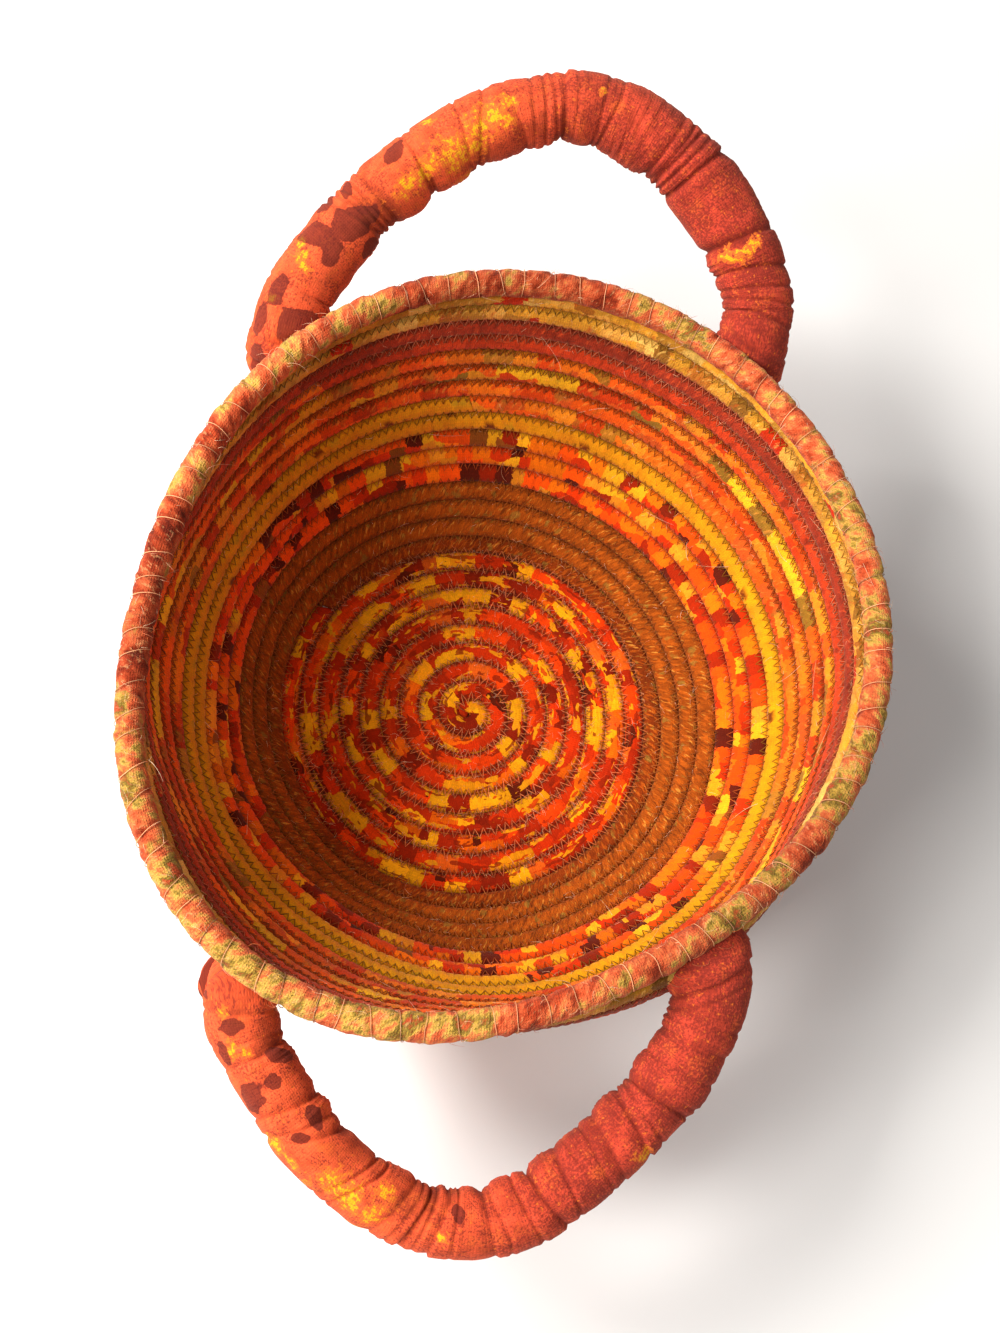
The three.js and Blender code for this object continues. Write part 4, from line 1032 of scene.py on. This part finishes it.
def fold_relief(LL, TH, folds, seed):
    d = np.zeros_like(LL)
    inner = 0.5 - 0.5 * np.cos(TH)
    for q, (lo_, li_, h, kind) in enumerate(folds):
        at = 0.5 * (lo_ + li_) + 0.5 * (lo_ - li_) * np.cos(TH) + 0.9 * noise2(np.full_like(TH, q * 3.7), TH / (2 * np.pi) * 5, seed + q, 5)
        u = LL - at
        # a fold dies away round the tube
        keep = np.clip(0.75 + 0.5 * noise2(np.full_like(TH, q * 5.1 + 40), TH / (2 * np.pi) * 3, seed + q, 3), 0.25, 1)
        if kind:
            w_ = u * kind
            on, under = 0.8 * np.exp(-np.clip(w_, 0, None) / 4.5), -0.75 * np.exp(np.clip(w_, None, 0) / 1.6)
            m_ = smooth(-0.35, 0.35, w_)
            d += h * keep * (on * m_ + under * (1 - m_))
        else:
            d += h * keep * (-0.95 * np.exp(-((u / 0.62) ** 2)) + 0.45 * np.exp(-(((np.abs(u) - 1.35) / 0.75) ** 2)))
        d -= (0.35 + 1.05 * inner) * h * np.exp(-((u / 2.6) ** 2))
    return d


def handle_surface(h, seed, K=96, step=0.55):
    side = h["side"]
    e = math.radians(h["lift"])
    pts = [end_point(*q) for q in h["ends"][0]]
    pts += [np.array([x_, side * (106 + v_ * math.cos(e)), h["root_z"] + v_ * math.sin(e)]) for x_, v_ in h["line"]]
    pts += [end_point(*q) for q in h["ends"][1]]
    path, L = catmull(np.array(pts), step)
    n = len(L)
    t = np.gradient(path, axis=0)
    t /= np.linalg.norm(t, axis=1, keepdims=True)
    up = np.array([0, -math.sin(e) * side, math.cos(e)])
    out = np.cross(t, up)
    out /= np.linalg.norm(out, axis=1, keepdims=True)
    if np.dot(out[n // 2], np.array([0, side, 0])) < 0:
        out = -out
    upv = np.cross(out, t)
    upv *= np.sign(np.einsum("ij,j->i", upv, up))[n // 2]
    # angle 0 is the outer side of the arch, 90 degrees the top, 180 the inner side
    w = L / L[-1]
    R = np.interp(w, [q[0] for q in h["r"]], [q[1] for q in h["r"]])
    F = np.interp(w, [q[0] for q in h["f"]], [q[1] for q in h["f"]])
    th = 2 * np.pi * np.arange(K) / K - np.pi / 2
    LL, TH = np.meshgrid(L, th, indexing="ij")
    inner = 0.5 - 0.5 * np.cos(TH)
    tc = TH / (2 * np.pi)
    d = fold_relief(LL, TH, h["folds"], seed + 100)
    # loose cloth between the folds, and fine creases across the tube that come in clusters
    d = d + 0.75 * noise2(LL / 13, tc * 4, seed + 6, 4) + 0.35 * noise2(LL / 5.5, tc * 6, seed + 7, 6)
    cl = np.clip(0.25 + 0.9 * noise2(LL / 12, tc * 3, seed + 3, 3), 0, 1.2) * (0.5 + 0.7 * inner)
    fine = noise2(LL / 1.5 + 1.6 * noise2(LL / 9, tc * 4, seed + 4, 4), tc * 4, seed + 5, 4)
    d = d + 0.40 * cl * (1 - 2 * np.abs(fine))
    # gathers where the ends are sewn down
    g = (np.exp(-L / 14.0) + np.exp(-(L[-1] - L) / 14.0)) * smooth(0, 10, np.minimum(L, L[-1] - L))
    d = d + 0.55 * g[:, None] * noise2(LL / 9, tc * 22, seed + 8, 22)
    e0, e1 = np.clip(L / 10, 0, 1), np.clip((L[-1] - L) / 10, 0, 1)
    close = np.sqrt(np.clip(1 - (1 - np.minimum(e0, e1)) ** 2, 0, 1))
    shrink = (0.10 + 0.90 * close)[:, None]
    a_, b_ = (R[:, None] + d) * shrink * np.cos(TH), (R * F)[:, None] * shrink * np.sin(TH) + d * shrink * np.sin(TH)
    P = path[:, None, :] + a_[..., None] * out[:, None, :] + b_[..., None] * upv[:, None, :]
    return P, LL, TH, L, w, path, d


def press(P, into=0.8):
    """Where the handle's cloth meets the wall or the rim it lies flat against it."""
    q = P.reshape(-1, 3)
    az, r = np.degrees(np.arctan2(q[:, 1], q[:, 0])), np.hypot(q[:, 0], q[:, 1])
    sg = np.linspace(12, RIM_SIGMA, 90)
    rr, zz, pp = wall(sg[None, :], az[:, None])
    ro, zo = rr + 3.4 * np.sin(pp), zz - 3.4 * np.cos(pp)
    k = np.clip((zo < q[:, 2:3]).sum(1), 1, len(sg) - 1)
    i = np.arange(len(q))
    f = np.clip((q[:, 2] - zo[i, k - 1]) / np.maximum(zo[i, k] - zo[i, k - 1], 1e-3), 0, 1)
    face = ro[i, k - 1] * (1 - f) + ro[i, k] * f
    face = np.where(q[:, 2] > zo[:, -1], -1e3, face)
    dz = q[:, 2] - zz[:, -1]
    face = np.maximum(face, np.where(np.abs(dz) < 4.9, rr[:, -1] + np.sqrt(np.clip(4.9 ** 2 - dz ** 2, 0, None)), -1e3))
    new = np.maximum(r, face - into)
    out = q * np.stack([new / r, new / r, np.ones(len(q))], 1)
    return out.reshape(P.shape), (face > r - 2.5).reshape(P.shape[:-1])


def handle_marks(LL, TH, marks, soft, seed):
    """How far inside one of the printed marks each point is; the marks are uneven blots."""
    m_ = np.zeros_like(LL)
    tc = TH / (2 * np.pi)
    wob = 0.22 * noise2(LL / 5.0, tc * 14, seed, 14) + 0.16 * noise2(LL / 2.2, tc * 30, seed + 1, 30)
    for q, (s0, a0, r0) in enumerate(marks):
        lean = 0.6 * math.sin(2.4 * q + seed)
        long_ = 1.0 + 0.30 * math.sin(5.1 * q + 1.0)
        u = LL - s0
        v = ((TH - math.radians(a0) + np.pi) % (2 * np.pi) - np.pi) * 12.0
        u, v = (u * math.cos(lean) + v * math.sin(lean)) / long_, (v * math.cos(lean) - u * math.sin(lean)) * long_
        dd = np.hypot(u, v) * (1 + wob)
        m_ = np.maximum(m_, 1 - smooth(r0 * (1 - soft), r0 * (1 + soft), dd))
    return m_


def handle_material():
    """Batik cotton: coral to brick red with dense dark speckle, maroon spots and gold flecks. The
    attributes mark, fleck and grain say where; noise in the cloth gives the ragged edges."""
    m, nt, bsdf = base_material("cloth_handle", 0.93, 0.10)
    L = nt.links
    cl = Cloth(m, nt)
    fac = lambda key: node(nt, "ShaderNodeAttribute", attribute_name=key).outputs["Fac"]
    col = node(nt, "ShaderNodeAttribute", attribute_name="Col").outputs["Color"]
    half = lambda n, k: math_node(nt, "MULTIPLY", math_node(nt, "SUBTRACT", n, 0.5), k)
    n1 = cl.noise(0.22, 0.22, 4.0, 0.6, off=1.0)
    col = scale_col(nt, col, math_node(nt, "MULTIPLY_ADD", n1, 1.5, 0.25))
    n4 = cl.noise(0.55, 0.55, 4.0, 0.65, off=5.0)
    # orange, then dark red: clouds made of fine grain
    g = cl.noise(1.15, 1.15, 3.0, 0.6, off=11.0)
    warm = cl.noise(0.16, 0.16, 5.0, 0.72, off=21.0)
    col = mix_col(nt, step_node(nt, warm, 0.52, 0.66, 0.50), col, tuple(lin(0xE8682E)))
    cloud = cl.noise(0.11, 0.11, 3.0, 0.6, off=33.0)
    grain = math_node(nt, "MULTIPLY_ADD", fac("grain"), 0.10, math_node(nt, "MULTIPLY_ADD", cloud, 0.42, math_node(nt, "MULTIPLY", g, 0.80)))
    col = mix_col(nt, step_node(nt, grain, 0.645, 0.76, 0.72), col, (0.20, 0.022, 0.016))
    fl = math_node(nt, "ADD", fac("fleck"), half(n4, 3.4))
    col = mix_col(nt, step_node(nt, fl, 0.42, 0.60, 0.75), col, tuple(lin(0xE8742A)))
    col = mix_col(nt, step_node(nt, fl, 0.92, 1.04, 0.92), col, tuple(lin(0xEEA81E)))
    sp = math_node(nt, "ADD", fac("mark"), half(n4, 1.1))
    col = mix_col(nt, step_node(nt, sp, 0.40, 0.62, 0.82), col, (0.115, 0.016, 0.012))
    wv = cl.weave()
    col = scale_col(nt, col, math_node(nt, "MULTIPLY_ADD", wv, 0.16, 0.93))
    L.new(col, bsdf.inputs["Base Color"])
    bp = node(nt, "ShaderNodeBump")
    bp.inputs["Strength"].default_value, bp.inputs["Distance"].default_value = 0.5, 0.0006
    L.new(math_node(nt, "MULTIPLY_ADD", g, 0.7, math_node(nt, "MULTIPLY", wv, 0.3)), bp.inputs["Height"])
    L.new(bp.outputs[0], bsdf.inputs["Normal"])
    return m


HAND_MAT = handle_material()
for key, h in HANDLES.items():
    seed = 300 if key == "a" else 400
    P, LL, TH, L, w, path, d = handle_surface(h, seed)
    P, touch = press(P)
    n, k = LL.shape
    f, i, j = tube_faces(n, k)
    if np.einsum("i,i", np.cross(P[25, 1] - P[25, 0], P[26, 0] - P[25, 0]), P[25, 0] - path[25]) < 0:
        f = f[:, ::-1]
    # painted light and shade over the cloth's brick red: each handle lighter towards its -x end, which faces the key
    # lamps, and darker towards its +x end
    left = (1 - smooth(0.36, 0.66, w))[:, None, None]
    col = lin(0xDC5630) * left + lin(0xBC402C) * (1 - left)
    col = col * (1 + 0.16 * noise2(LL / 16, TH / (2 * np.pi) * 5, seed + 30, 5))[..., None]
    # painted shade: the bottoms of creases are darker
    col = col * (1 - 0.45 * smooth(0.3, 1.6, -d))[..., None]
    cl_ = np.stack([LL.ravel(), (TH * 12.5).ravel(), np.full(LL.size, seed * 1.0)], 1)
    uv = strip_uv(i, j, n, k, 2)
    grain = np.broadcast_to((0.25 + 0.75 * smooth(0.35, 0.7, w))[:, None], LL.shape)
    o = new_mesh(f"handle_{key}_cloth", P.reshape(-1, 3), f, col.reshape(-1, 3),
                 [("cloth", cl_), ("mark", handle_marks(LL, TH, h["spots"], 0.30, seed + 40).ravel()), ("fleck", handle_marks(LL, TH, h["flecks"], 0.8, seed + 50).ravel()), ("grain", grain.ravel())], uv)
    o.data.materials.append(HAND_MAT)
    side = h["side"]
    piv_y = side * (127.0 if key == "a" else 135.0)
    piv_z = h["root_z"] + (abs(piv_y) - 106) * math.tan(math.radians(h["lift"]))
    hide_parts(f"handle_{key}_cover", f"handle_{key}_padding", f"handle_{key}_rope", f"handle_{key}_end_left", f"handle_{key}_end_right",
                f"handle_{key}_stitch_left", f"handle_{key}_stitch_right")
    a_ = (np.array([0, piv_y - side * 9, piv_z]) + SHIFT) / 1000
    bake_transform(o)
    # over-and-over stitches that hold each end to the wall
    for word, first in (("left", True), ("right", False)):
        q = []
        for row in (9, 15, 21, 28, 36):
            ring = row if first else n - 1 - row
            t_ = touch[ring]
            edge = np.nonzero(t_ != np.roll(t_, 1))[0]
            for e_ in edge:
                # the thread starts on the cloth, a little away from the wall, and goes into the wall beside it
                inward = 1 if t_[e_] else -1
                a0 = P[ring, (e_ - 3 * inward) % k]
                b0 = P[ring, (e_ + 1 * inward) % k]
                d0 = b0 - a0
                d0 /= np.linalg.norm(d0) + 1e-6
                c0 = b0 + d0 * 1.6
                c0 = press(c0[None, :], 0.9)[0][0]
                rad = np.array([b0[0], b0[1], 0.0])
                rad /= np.linalg.norm(rad)
                mid = 0.5 * (a0 + c0) + rad * 0.9
                q.append(np.stack([a0 - rad * 0.5, a0 * 0.7 + mid * 0.3 + rad * 0.35, mid, c0 * 0.7 + mid * 0.3, c0 - rad * 0.6]))
        if q:
            V, f = tubes(np.array(q), 0.17, 4)
            cw = np.repeat(lin(0xB4583A)[None, :], len(f), 0)
            st = new_mesh(f"handle_{key}_hand_stitches_{word}", V, f, cw, (), grid_uv(len(f)))
            st.data.materials.append(TH_MAT)
            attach(st, "basket")

# ------------------------------------------------------------------ floor, light, camera
fl = bpy.data.meshes.new("floor")
fl.from_pydata([(-4, -4, 0), (4, -4, 0), (4, 4, 0), (-4, 4, 0)], [], [(0, 1, 2, 3)])
floor = bpy.data.objects.new("floor", fl)
bpy.context.scene.collection.objects.link(floor)
fm = bpy.data.materials.new("floor")
fm.use_nodes = True
fm.node_tree.nodes["Principled BSDF"].inputs["Base Color"].default_value = (0.86, 0.85, 0.84, 1)
fm.node_tree.nodes["Principled BSDF"].inputs["Roughness"].default_value = 0.9
fl.materials.append(fm)
floor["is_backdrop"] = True

world = bpy.data.worlds.new("studio")
bpy.context.scene.world = world
world.use_nodes = True
world.node_tree.nodes["Background"].inputs["Color"].default_value = (1.0, 0.99, 0.97, 1)
world.node_tree.nodes["Background"].inputs["Strength"].default_value = 0.26


def area(name, loc, target, size, power, colour=(1, 1, 1)):
    ld = bpy.data.lights.new(name, "AREA")
    ld.shape = "SQUARE"
    ld.size = size
    ld.energy = power
    ld.color = colour
    lo_ = bpy.data.objects.new(name, ld)
    lo_.location = loc
    d = Vector(target) - Vector(loc)
    lo_.rotation_mode = "QUATERNION"
    lo_.rotation_quaternion = d.to_track_quat("-Z", "Y")
    bpy.context.scene.collection.objects.link(lo_)
    return lo_


area("key", (-1.06, 0.50, 1.14), (0.02, 0, 0.05), 0.6, 31, (1.0, 0.975, 0.94))
area("key_low", (-1.06, -0.46, 1.12), (0.02, 0, 0.05), 0.6, 21, (1.0, 0.975, 0.94))
area("fill", (0.5, -0.4, 1.7), (0, 0, 0.05), 1.4, 4, (1.0, 0.98, 0.96))

cam_d = bpy.data.cameras.new("camera")
cam = bpy.data.objects.new("camera", cam_d)
bpy.context.scene.collection.objects.link(cam)
bpy.context.scene.camera = cam
cam_d.sensor_fit = "VERTICAL"
cam_d.sensor_height = 36.0
cam_d.lens = 1500 / 1333 * 36.0
cam_d.clip_start, cam_d.clip_end = 0.01, 20
right = np.array([0.9941, -0.03022, 0.10414])
down = np.array([0.00333, -0.9514, -0.30794])
fwd = np.array([0.10838, 0.30647, -0.94569])
fwd /= np.linalg.norm(fwd)
right = right - fwd * (right @ fwd)
right /= np.linalg.norm(right)
upc = np.cross(right, fwd)
C = (np.array([-52.94, -168.14, 583.94]) + SHIFT) / 1000
M = np.eye(4)
M[:3, 0], M[:3, 1], M[:3, 2], M[:3, 3] = right, upc, -fwd, C
cam.matrix_world = Matrix(M.tolist())

bpy.context.scene.view_settings.view_transform = "Standard"
bpy.context.scene.view_settings.look = "None"

lo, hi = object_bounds()
